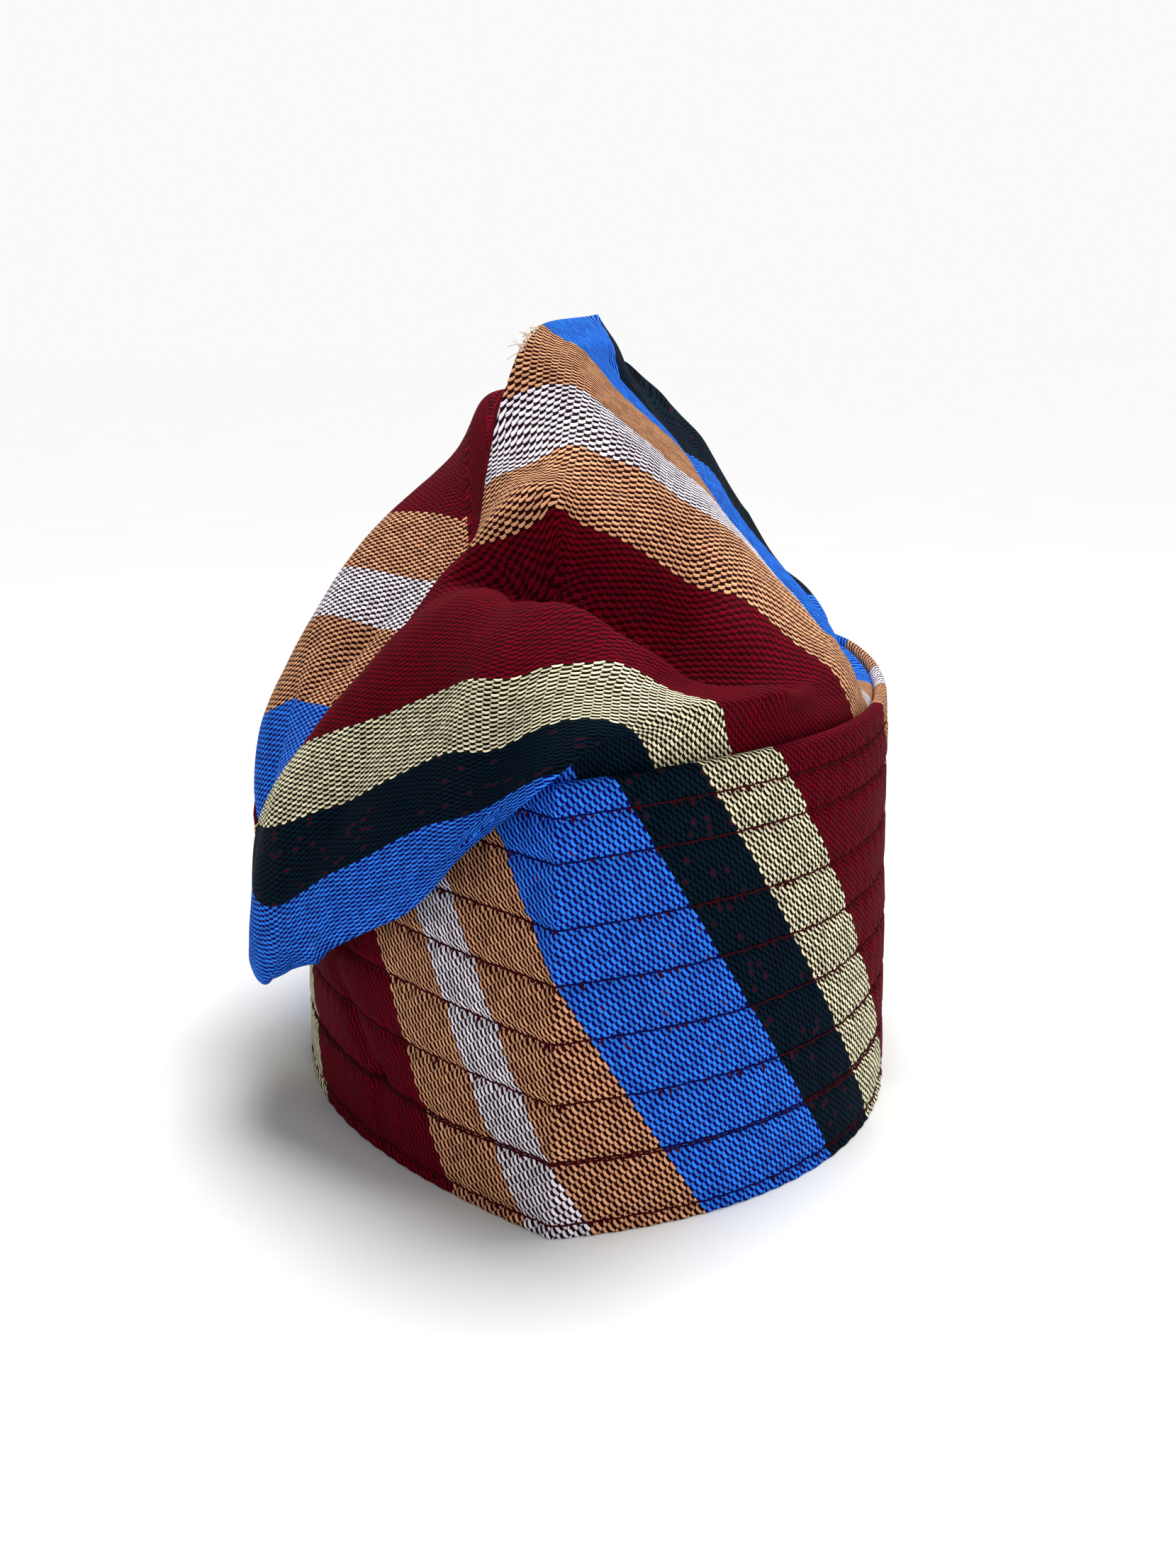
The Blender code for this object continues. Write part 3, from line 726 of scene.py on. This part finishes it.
class Nodes:
    """Short-hand for a material's node tree."""

    def __init__(self, name):
        self.material = bpy.data.materials.new(name)
        self.material.use_nodes = True
        self.tree = self.material.node_tree
        self.tree.nodes.clear()
        self.node = partial(add_node, self.tree)
        self.shader = self.node("BsdfPrincipled")
        self.node("OutputMaterial", {"Surface": self.shader.outputs[0]})

    def surface(self, name, value):
        put(self.tree, self.shader.inputs[name], value)

    def math(self, operation, *values):
        return self.node("Math", enumerate(values), operation=operation).outputs[0]

    add = partialmethod(math, "ADD")
    sub = partialmethod(math, "SUBTRACT")
    mul = partialmethod(math, "MULTIPLY")
    div = partialmethod(math, "DIVIDE")
    power = partialmethod(math, "POWER")
    floor = partialmethod(math, "FLOOR")
    absolute = partialmethod(math, "ABSOLUTE")
    modulo = partialmethod(math, "FLOORED_MODULO")

    def band(self, value, low, high):
        """Smooth step of a value from 0 at low to 1 at high."""
        return smooth_step(self.tree, value, low, high, 0.0, 1.0)

    def mix(self, share, a, b, blend="MIX"):
        inputs = {0: share, 6: a, 7: b}
        return self.node("Mix", inputs, data_type="RGBA", blend_type=blend).outputs[2]

    def vector(self, *values):
        return self.node("CombineXYZ", enumerate(values)).outputs[0]

    def noise(self, vector, scale, detail, colour=False):
        node = self.node("TexNoise", {"Vector": vector, "Scale": scale, "Detail": detail})
        return node.outputs[1 if colour else 0]

    def white(self, vector):
        return self.node("TexWhiteNoise", {"Vector": vector}).outputs["Value"]

    def ramp(self, share, stops):
        """Steps of colours, or of numbers as greys."""
        node = self.node("ValToRGB", {0: share})
        node.color_ramp.interpolation = "CONSTANT"
        points = node.color_ramp.elements
        while len(points) < len(stops):
            points.new(1.0)
        for point, (at, colour) in zip(points, stops):
            point.position = at
            point.color = (*np.broadcast_to(colour, 3), 1.0)
        return node.outputs[0]

    def apart(self, vector):
        node = self.node("SeparateXYZ", {0: vector})
        return node.outputs[0], node.outputs[1]

    def cloth_place(self):
        """The cloth's own coordinates: across and along the stripes."""
        return self.node("UVMap", uv_map="cloth").outputs[0]

    def solid_place(self):
        return self.node("TexCoord").outputs["Object"]

    def in_repeat(self, across):
        """The place within the stripes' repeat, from 0 to 1."""
        return self.modulo(self.div(across, STRIPE_REPEAT), 1.0)

    def shaded(self, colour, shade):
        return self.mix(1.0, colour, self.vector(shade, shade, shade), "MULTIPLY")

    def bump(self, height, strength, distance):
        inputs = {"Strength": strength, "Distance": distance, "Height": height}
        self.surface("Normal", self.node("Bump", inputs).outputs[0])


def linear(*srgb):
    """Linear colour from its 0 to 255 display values."""
    return tuple((v / 255 / 12.92) if v <= 10 else ((v / 255 + 0.055) / 1.055) ** 2.4 for v in srgb)


# Stripes across the cloth in order. width is in millimetres, open is the share of a column pair
# that shows the dark gap between two yarns, flecks the share of cells where a dark red thread shows.
# The gap colour is the weft's own dark colour with painted shade of the recess between the yarns.
Stripe = namedtuple("Stripe", "name width yarn gap open flecks")
STRIPES = (
    Stripe("tan", 19.3, linear(230, 168, 125), linear(36, 1, 2), 0.52, 0.004),
    Stripe("white", 14.8, linear(250, 242, 252), linear(30, 8, 18), 0.47, 0.0),
    Stripe("tan", 23.2, linear(230, 168, 125), linear(36, 1, 2), 0.52, 0.004),
    Stripe("blue", 35.2, linear(48, 133, 252), linear(8, 2, 92), 0.47, 0.008),
    Stripe("green", 20.1, linear(4, 28, 42), linear(1, 1, 10), 0.42, 0.055),
    Stripe("cream", 20.4, linear(250, 243, 204), linear(24, 14, 4), 0.52, 0.0),
    Stripe("maroon", 53.0, linear(106, 1, 24), linear(46, 0, 2), 0.38, 0.0),
)
FLECK_COLOUR = linear(76, 8, 22)
THREAD_COLOUR = linear(66, 0, 12)
# Painted shade of the blue cloth's stitch groove, used for the thread over the blue stripes
GROOVE_SHADE_ON_BLUE = linear(10, 4, 84)
RAW_YARN = (linear(178, 160, 140), linear(246, 238, 222))
FLOOR_COLOURS = ((0.805, 0.805, 0.804), (0.845, 0.845, 0.844))


def stripe_starts():
    """Where each stripe begins in the repeat, from 0 to 1."""
    widths = [stripe.width for stripe in STRIPES]
    return np.cumsum([0.0] + widths[:-1]) / sum(widths)


def weave_material(name):
    """Plain weave of two-ply yarns in stripes, from the cloth's own coordinates, with painted shade in its
    gaps and on its floats and a painted highlight on each ply.
    """
    n = Nodes(name)
    cloth = n.cloth_place()
    across, along = n.apart(cloth)
    wander_across, wander_along = n.apart(n.noise(cloth, 110.0, 1.0, colour=True))
    across = n.add(across, n.mul(n.sub(wander_across, 0.5), WANDER_ACROSS))
    along = n.add(along, n.mul(n.sub(wander_along, 0.5), WANDER_ALONG))

    # Floats bow to one side and lean a little within their row
    row = n.div(along, ROW)
    row_number = n.floor(row)
    in_row = n.sub(n.sub(row, row_number), 0.5)
    bow = n.mul(n.math("COSINE", n.mul(in_row, math.pi)), FLOAT_BOW)
    column = n.add(n.div(across, COLUMN), n.add(bow, n.mul(in_row, FLOAT_LEAN)))
    column_number = n.floor(column)
    in_column = n.sub(n.sub(column, column_number), 0.5)
    odd = n.modulo(n.add(column_number, row_number), 2.0)

    # The stripe of the nearest yarn
    repeat = n.in_repeat(n.mul(n.add(column_number, 0.5), COLUMN))
    table = Stripe(*zip(*STRIPES))
    yarn_colour, gap_and_shade_colour, openness, flecks = (
        n.ramp(repeat, list(zip(stripe_starts(), values)))
        for values in (table.yarn, table.gap, table.open, table.flecks)
    )

    # Each yarn shows as a long float in every other cell and dips under in the cells between
    aside = n.absolute(in_column)
    ahead = n.absolute(in_row)
    chance = n.white(n.vector(n.add(column_number, odd), row_number, 3.0))
    half_wide = n.mul(n.sub(1.0, openness), n.add(0.94, n.mul(chance, 0.22)))

    def outness(to_side, to_end):
        """How far out in a float a place lies, with 1 at its rounded edge."""
        to_side = n.power(n.div(to_side, half_wide), SIDE_POWER)
        return n.add(to_side, n.power(n.div(to_end, FLOAT_REACH), END_POWER))

    to_side = n.absolute(n.sub(odd, aside))
    above = n.add(outness(aside, n.sub(1.0, ahead)), n.mul(n.sub(1.0, odd), ALWAYS_UNDER))
    edge = n.math("MINIMUM", outness(to_side, ahead), above)
    on_yarn = n.band(edge, 1.05, 0.70)
    round_yarn = n.math("SQRT", n.math("MAXIMUM", n.sub(1.0, n.mul(edge, 0.92)), 0.0))

    # Two plies side by side. Painted shade darkens each float towards its rounded sides and along a fine line
    # between its plies, a painted highlight brightens the top of each ply, and tone differs at random from
    # float to float.
    # Each row has a share, the shade where it is 0, and how much more where it is 1.
    painted_shade_between_plies = n.band(to_side, 0.02, 0.14)
    painted_highlight_on_ply = n.mul(n.band(to_side, 0.10, 0.26), n.band(to_side, 0.50, 0.34))
    shade = 1.0
    for share, least, more in (
        (chance, 0.78, 0.30),
        (round_yarn, 0.42, 0.62),
        (painted_shade_between_plies, 0.74, 0.24),
        (painted_highlight_on_ply, 1.0, 0.32),
        (n.noise(cloth, 22.0, 3.0), 0.88, 0.24),
    ):
        shade = n.mul(shade, n.add(least, n.mul(share, more)))
    # The gaps: the weft's own colour darkened by painted shade of the recess, with a few dark red flecks
    fleck = n.math("LESS_THAN", n.white(n.vector(column_number, row_number, 9.0)), flecks)
    gap = n.mix(n.mul(fleck, FLECK_SHARE), gap_and_shade_colour, FLECK_COLOUR)
    n.surface("Base Color", n.mix(on_yarn, gap, n.shaded(yarn_colour, shade)))

    height = n.mul(on_yarn, n.add(0.30, n.mul(round_yarn, 0.70)))
    fuzz = n.noise(cloth, 2600.0, 2.0)
    n.bump(n.add(height, n.mul(fuzz, 0.10)), 0.8, YARN_HEIGHT)
    n.surface("Roughness", n.add(0.80, n.mul(chance, 0.12)))
    n.surface("Specular IOR Level", 0.04)
    return n.material


def thread_material(name):
    """Sewing thread of fine twisted fibres: maroon, and navy where it crosses the blue stripes, as painted
    shade of the blue cloth's stitch groove.
    """
    n = Nodes(name)
    starts = stripe_starts()
    blue = [stripe.name for stripe in STRIPES].index("blue")
    # Over the blue stripes the thread is painted navy, as painted shade of the stitch groove
    stops = [(0.0, THREAD_COLOUR), (starts[blue], GROOVE_SHADE_ON_BLUE), (starts[blue + 1], THREAD_COLOUR)]
    colour = n.ramp(n.in_repeat(n.apart(n.cloth_place())[0]), stops)
    fibres = n.noise(n.solid_place(), 2400.0, 3.0)
    n.surface("Base Color", n.shaded(colour, n.add(0.55, n.mul(fibres, 0.7))))
    n.surface("Roughness", 0.85)
    n.surface("Specular IOR Level", 0.1)
    n.bump(fibres, 0.4, THREAD_HEIGHT)
    return n.material


def raw_thread_material(name):
    """Loose cotton ends at the seam, cream and unsewn."""
    n = Nodes(name)
    n.surface("Base Color", n.mix(n.noise(n.solid_place(), 1500.0, 3.0), *RAW_YARN))
    n.surface("Roughness", 0.9)
    n.surface("Specular IOR Level", 0.1)
    return n.material


# Cuff


def stitch_pull(share, turn):
    """How far the outer face is drawn in by the stitching, and how far it puffs between rows."""
    rows = np.array(STITCH_ROWS)
    nearest = np.abs((share - rows) * BAND_HEIGHT).min()
    pull = GROOVE_DEPTH * math.exp(-((nearest / GROOVE_WIDTH) ** 2))
    if rows[0] < share < rows[-1]:
        k = int(np.searchsorted(rows, share)) - 1
        middle = (share - rows[k]) / (rows[k + 1] - rows[k])
        pull -= PUFF * math.sin(math.pi * middle)
    pucker = PUCKER_DEPTH * math.exp(-((nearest / PUCKER_WIDTH) ** 2))
    drift = 2.0 * np.sin(turn * 37.0 + 20.0 * share)
    ripples = np.sin(turn * HALF_GIRTH / PUCKER_SPACING * math.pi + drift)
    return pull + pucker * ripples


def cuff_dents(turn, heights):
    """How deep the cuff's soft creases are at each height and turn."""
    depth = np.zeros((len(heights), len(turn)))
    for dent in CUFF_DENTS:
        line = np.interp(heights, (dent.low, dent.high), (dent.turn_low, dent.turn_high))
        off = (turn - line) * HALF_GIRTH / dent.width
        middle = (heights - 0.5 * (dent.low + dent.high)) / (0.5 * (dent.high - dent.low))
        depth += dent.depth * np.exp(-(off**2)) * np.exp(-(np.abs(middle) ** 3))
    return depth


def cuff_grid():
    """Rings of the cuff, and how far along the cloth each lies.

    They begin at the turned-in hem and go up the outer face, over the rim and down the inner face.
    """
    turn = turns(FINE_TURNS)
    roll = 0.5 * BAND_THICKNESS
    top = 1.0 - roll / BAND_HEIGHT
    hem = HEM_SHARE * BAND_THICKNESS
    rings, ups = [band_ring(turn, 0.0, hem)], [-hem]
    for share in np.linspace(0.0, top, OUTER_RINGS):
        rings.append(band_ring(turn, share, stitch_pull(share, turn)))
        ups.append(share * BAND_HEIGHT)
    for angle in np.linspace(0.0, math.pi, ROLL_RINGS + 1)[1:]:
        share = top + (1.0 - top) * math.sin(angle)
        rings.append(band_ring(turn, share, roll * (1.0 - math.cos(angle))))
        ups.append(top * BAND_HEIGHT + roll * angle)
    for share in np.linspace(top, 0.0, INNER_RINGS + 1)[1:]:
        rings.append(band_ring(turn, share, BAND_THICKNESS))
        ups.append(ups[-1] + BAND_HEIGHT * top / INNER_RINGS)
    rings.append(band_ring(turn, 0.0, BAND_THICKNESS - hem))
    ups.append(ups[-1] + hem)
    grid = np.array(rings)
    outer = slice(1, 1 + OUTER_RINGS)
    heights = np.linspace(0.0, 1.0, OUTER_RINGS)[:, None]
    wave = waves(grid[outer], CUFF_LUMPS) * faded(heights, 0.05, 0.06)
    side = grid[outer] - grid[outer].mean(axis=1, keepdims=True)
    side[..., 2] = 0.0
    grid[outer] += unit(side) * (wave - cuff_dents(turn, heights))[..., None]
    return grid, np.array(ups)


def cuff(material, shift):
    grid, ups = cuff_grid()
    around = np.tile(turns(FINE_TURNS), (len(ups), 1))
    up = np.repeat(ups[:, None], FINE_TURNS, axis=1)
    cloth = [slanted((around + step) * HALF_GIRTH, up, CUFF_START) for step in (0.0, 2.0 / FINE_TURNS)]
    piece = sheet_object("Cuff", grid + shift, cloth, material)
    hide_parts("band")
    return piece, grid[1 : 1 + OUTER_RINGS]


def tube(name, lines, radii, across, material, shift):
    """Thin round threads along lines of points, as one mesh.

    Each line has a radius, or one for each point, and the place across the stripes of each point.
    """
    verts, faces, places = [], [], []
    sides = THREAD_SIDES
    ring = [(math.cos(a), math.sin(a)) for a in np.linspace(0, 2 * math.pi, sides, endpoint=False)]
    for line, radius, place_across in zip(lines, radii, across):
        line = np.asarray(line)
        radius = np.broadcast_to(radius, len(line))
        place_across = np.broadcast_to(place_across, len(line))
        ahead = unit(np.gradient(line, axis=0))
        side = unit(np.cross(ahead, NEARLY_UP))
        lift = np.cross(side, ahead)
        start = len(verts)
        for p, s, u, r, v in zip(line, side, lift, radius, place_across):
            verts.extend((p + r * (c * s + d * u)).tolist() for c, d in ring)
            places.extend([v] * sides)
        for k in range(len(line) - 1):
            for m in range(sides):
                a = start + k * sides + m
                b = start + k * sides + (m + 1) % sides
                faces.append((a, b, b + sides, a + sides))
        faces.append(tuple(range(start + sides - 1, start - 1, -1)))
        end = start + (len(line) - 1) * sides
        faces.append(tuple(range(end, end + sides)))
    mesh = bpy.data.meshes.new(name)
    mesh.from_pydata((np.array(verts) + shift).tolist(), [], faces)
    corner = np.zeros(len(mesh.loops), dtype=np.int32)
    mesh.loops.foreach_get("vertex_index", corner)
    flat = np.stack([np.array(places)[corner], np.zeros(len(corner))], axis=1)
    mesh.uv_layers.new(name="cloth").data.foreach_set("uv", flat.reshape(-1))
    return add_piece(name, mesh, material)


def on_cuff(grid, share, turn, proud):
    """Points of the cuff's outer face at shares of its height and turns, a little way out from it."""
    shares = np.linspace(0.0, 1.0 - 0.5 * BAND_THICKNESS / BAND_HEIGHT, OUTER_RINGS)
    column = (loop_of(turn) * FINE_TURNS) % FINE_TURNS
    left = column.astype(int)
    right = (left + 1) % FINE_TURNS
    beyond = (column - left)[:, None]
    row = np.interp(share, shares, np.arange(OUTER_RINGS))
    under = np.clip(row.astype(int), 0, OUTER_RINGS - 2)
    above = (row - under)[:, None]
    low = grid[under, left] * (1 - beyond) + grid[under, right] * beyond
    high = grid[under + 1, left] * (1 - beyond) + grid[under + 1, right] * beyond
    points = low * (1 - above) + high * above
    along = grid[under, (left + 2) % FINE_TURNS, :2] - grid[under, left - 2, :2]
    away = unit(np.stack([along[:, 1], -along[:, 0]], axis=1))
    away *= np.sign(np.sum(away * points[:, :2], axis=1, keepdims=True))
    points[:, :2] += away * np.reshape(proud, (-1, 1))
    return points


def stitch_share(number, turn):
    """The height of a stitch row at each turn, which wanders a little, as a share of the cuff's."""
    wander = sum(far * np.sin(turn * rate + step * number) for far, rate, step in STITCH_WANDER)
    return STITCH_ROWS[number] + wander


def across_cuff(share, turn):
    return slanted(turn * HALF_GIRTH, share * BAND_HEIGHT, CUFF_START)[..., 0]


def stitches(grid, material, shift):
    """Machine stitching along each row: a thread that dips into the cloth at every stitch."""
    turn = wrap_turn(np.linspace(-1.0, 1.0, STITCH_POINTS, endpoint=False) + 0.002)
    dip = np.abs(np.sin(turn * HALF_GIRTH / STITCH * math.pi))
    proud = STITCH_PROUD - STITCH_DIP * (1.0 - ease(dip / 0.45))
    chance = random.Random(7)
    lines, radii, across = [], [], []
    for number in range(len(STITCH_ROWS)):
        for below in (0.0, DOUBLE_ROW_GAP) if number == DOUBLE_ROW else (0.0,):
            share = stitch_share(number, turn) - below / BAND_HEIGHT
            path = on_cuff(grid, share, turn, proud)
            lines.append(np.vstack([path, path[:1]]))
            radii.append(STITCH_RADIUS)
            across.append(np.append(across_cuff(share, turn), across_cuff(share[:1], turn[:1])))

        # Where the thread below shows at a needle hole, a short dark wedge hangs from the row
        for k in range(int(2 * HALF_GIRTH / STITCH)):
            if chance.random() < WEDGE_SHARE:
                at = -1.0 + k * STITCH / HALF_GIRTH
                length = chance.uniform(*WEDGE_LENGTH)
                down = np.linspace(-0.25, 1.0, len(WEDGE_SHAPE))
                side = chance.uniform(*WEDGE_LEAN) * length / HALF_GIRTH
                here = wrap_turn(at + side * down)
                share = stitch_share(number, here) - length * down / BAND_HEIGHT
                lines.append(on_cuff(grid, np.maximum(share, 0.002), here, -STITCH_PROUD))
                radii.append(chance.uniform(*WEDGE_RADIUS) * np.array(WEDGE_SHAPE))
                across.append(0.0)
    return tube("Stitches", lines, radii, across, material, shift)


# Crown


def slip_at(turn, way):
    """The slip in metres at the given ways (rows) of the sections at the given turns (columns)."""
    table = np.array(SLIPS)
    heights = np.linspace(0.0, 1.0, table.shape[1] - 1)
    at_turns = curve_through(loop_of(table[:, 0]), table[:, 1:], loop_of(turn), period=1.0)
    return curve_through(heights, at_turns.T, way) / 1000.0


def crown_cloth(coarse, tuck_downs):
    """Stripe coordinates at the left and right of every face of the fine crown, tuck rows first."""
    panels = zip(crown_flat(coarse), (-0.5, -1.0), (CROWN_START, BACK_LEFT_START))
    left, right = [], []
    for flat, first_turn, start in panels:
        fine = finer(flat, CROWN_FINER, FINE_TURNS // COARSE_TURNS)
        turn = first_turn + 2.0 * np.arange(fine.shape[1]) / FINE_TURNS
        slip = slip_at(turn, np.linspace(0.0, 1.0, len(fine)))
        tuck = fine[0] - TUCK_DEPTH * tuck_downs[:, None, None] * unit(fine[1] - fine[0])
        fine = np.concatenate([tuck, fine])
        slip = np.concatenate([np.repeat(slip[:1], len(tuck_downs), axis=0), slip])
        cloth = slanted(fine[..., 0], fine[..., 1], start + slip)
        left.append(cloth[:, :-1])
        right.append(cloth[:, 1:])
    return np.concatenate(left, axis=1), np.concatenate(right, axis=1)


def crown(material, shift):
    coarse = crown_sheet(turns(COARSE_TURNS), COARSE_ROWS)
    sheet = finer(coarse, CROWN_FINER, FINE_TURNS // COARSE_TURNS, closed=True)
    turn = turns(FINE_TURNS)
    way = np.linspace(0.0, 1.0, len(sheet))
    normal = grid_normals(sheet, 3)
    shift_by = fold_shift(CREASES, turn, way, CREASE_POWER, CREASE_FADE)
    wave = waves(sheet, CROWN_LUMPS) * faded(way[:, None], 0.1, 0.05)
    sheet = sheet + normal * (shift_by + wave)[..., None]
    tuck = band_ring(turn, 1.0 - TUCK_DEPTH / BAND_HEIGHT, BAND_THICKNESS + CLEARANCE)
    down = np.linspace(1.0, 0.0, TUCK_ROWS, endpoint=False)
    share = down[:, None, None]
    sheet = np.concatenate([tuck * share + sheet[0] * (1.0 - share), sheet])
    cloth = crown_cloth(coarse, down)
    piece = sheet_object("Crown", sheet + shift, cloth, material)
    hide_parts("crown")
    return piece, sheet, cloth


def crown_inside(material, sheet_all, cloth, shift):
    """The crown's inner face, one cloth inside the outer one, and its raw lower edge."""
    rows = np.r_[0 : len(sheet_all) - 1 : INSIDE_ROWS, len(sheet_all) - 1]
    columns = np.arange(0, FINE_TURNS, INSIDE_TURNS)
    outer = sheet_all[np.ix_(rows, columns)]
    normal = grid_normals(outer)
    from_seam = np.linalg.norm(outer - outer[-1:], axis=-1, keepdims=True)
    wall = CROWN_CLOTH * np.minimum(1.0, from_seam / SEAM_ALLOWANCE)
    pinched = np.exp(-(((wrap_turn(turns(FINE_TURNS)[columns]) + 0.5) / PINCHED_TURN) ** 2))
    from_rim = ease(np.arange(len(rows)) / len(rows) / 0.3)
    wall *= 1.0 - PINCHED_SHARE * (pinched * from_rim[:, None])[..., None]
    inner = outer - normal * wall
    grid = np.concatenate([outer[:1], inner])[::-1]
    inner_cloth = []
    for side, step in zip(cloth, (0, INSIDE_TURNS - 1)):
        picked = side[np.ix_(rows, columns + step)]
        inner_cloth.append(np.concatenate([picked[:1], picked])[::-1])
    return sheet_object("Crown_inside", grid + shift, inner_cloth, material)


def loose_ends(sheet_all, material, shift):
    """A few frayed yarn ends that stand out of the top seam's corner."""
    chance = random.Random(11)
    lines, radii = [], []
    for _ in range(LOOSE_ENDS):
        column = int(loop_of(chance.uniform(*LOOSE_TURN)) * FINE_TURNS)
        base = sheet_all[-2, column]
        out = unit(base - sheet_all[-9, column])
        side = unit(sheet_all[-2, column + 3] - base)
        length = chance.uniform(*LOOSE_LENGTH)
        lean, curl = chance.uniform(*LOOSE_LEAN), chance.uniform(*LOOSE_LEAN)
        droop = np.array([chance.uniform(*ends) for ends in LOOSE_DROOP])
        t = np.linspace(0.0, 1.0, 7)[:, None]
        lines.append(base + length * (t * out + lean * t * side + curl * t**2 * side + t**2 * droop))
        radii.append(np.linspace(*LOOSE_RADIUS, 7))
    return tube("Loose_ends", lines, radii, [0.0] * len(lines), material, shift)


# Room


def floor():
    n = Nodes("Floor_paint")
    n.surface("Base Color", n.mix(n.noise(n.solid_place(), 9.0, 3.0), *FLOOR_COLOURS))
    n.surface("Roughness", 0.9)
    n.surface("Specular IOR Level", 0.1)
    corners = [(x * FLOOR_REACH, y * FLOOR_REACH, 0) for x, y in ((-1, -1), (1, -1), (1, 1), (-1, 1))]
    mesh = bpy.data.meshes.new("Floor")
    mesh.from_pydata(corners, [], [(0, 1, 2, 3)])
    mesh.materials.append(n.material)
    piece = add_object("Floor", mesh)
    piece.location.z = -FLOOR_DROP


def lights():
    for lamp in LAMPS:
        data = bpy.data.lights.new(lamp.name, lamp.kind)
        data.energy = lamp.energy
        if lamp.kind == "SUN":
            data.angle = lamp.size
        else:
            data.size = lamp.size
        light = add_object(lamp.name, data)
        light.location = lamp.place
        light.rotation_euler = (Vector(lamp.target) - light.location).to_track_quat("-Z", "Y").to_euler()


def studio_world():
    """A pale backdrop all round the horizon under a darker ceiling."""
    world = bpy.data.worlds.new("Studio")
    world.use_nodes = True
    tree = world.node_tree
    split = add_node(tree, "SeparateXYZ", {0: add_node(tree, "TexCoord").outputs["Generated"]})
    strength = smooth_step(tree, split.outputs[2], BACKDROP_TOP, CEILING_START, BACKDROP, CEILING)
    colour_input, strength_input = tree.nodes["Background"].inputs[:2]
    put(tree, strength_input, strength)
    put(tree, colour_input, (1.0, 1.0, 1.0))
    bpy.context.scene.world = world


def camera(shift):
    data = bpy.data.cameras.new("Camera")
    data.sensor_width = SENSOR
    data.lens = SENSOR * FOCAL_PIXELS / PICTURE_PIXELS
    data.clip_start = 0.01
    view = add_object("Camera", data)
    view.location = Vector(CAMERA_PLACE) + Vector(shift)
    view.rotation_euler = (math.radians(90.0 - CAMERA_DOWN), 0.0, math.radians(CAMERA_TURN))
    bpy.context.scene.camera = view


# The cap's own axes lie a little aside from the model's, whose origin is the middle of its box
low_corner = np.array(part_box("band")[0])
rings = np.concatenate([band_ring(turns(COARSE_TURNS), s, 0.0) for s in (0.0, 1.0)])
shift = np.array([low_corner[0] - rings[:, 0].min(), low_corner[1] - rings[:, 1].min(), 0.0])
camera(shift)
floor()
bpy.context.scene.view_settings.view_transform = "Standard"
studio_world()
lights()
weave = weave_material("Striped_weave")
thread = thread_material("Maroon_thread")
cuff_piece, cuff_points = cuff(weave, shift)
stitch_piece = stitches(cuff_points, thread, shift)
crown_piece, crown_points, crown_places = crown(weave, shift)
inside_piece = crown_inside(weave, crown_points, crown_places, shift)
ends_piece = loose_ends(crown_points, raw_thread_material("Cream_yarn"), shift)
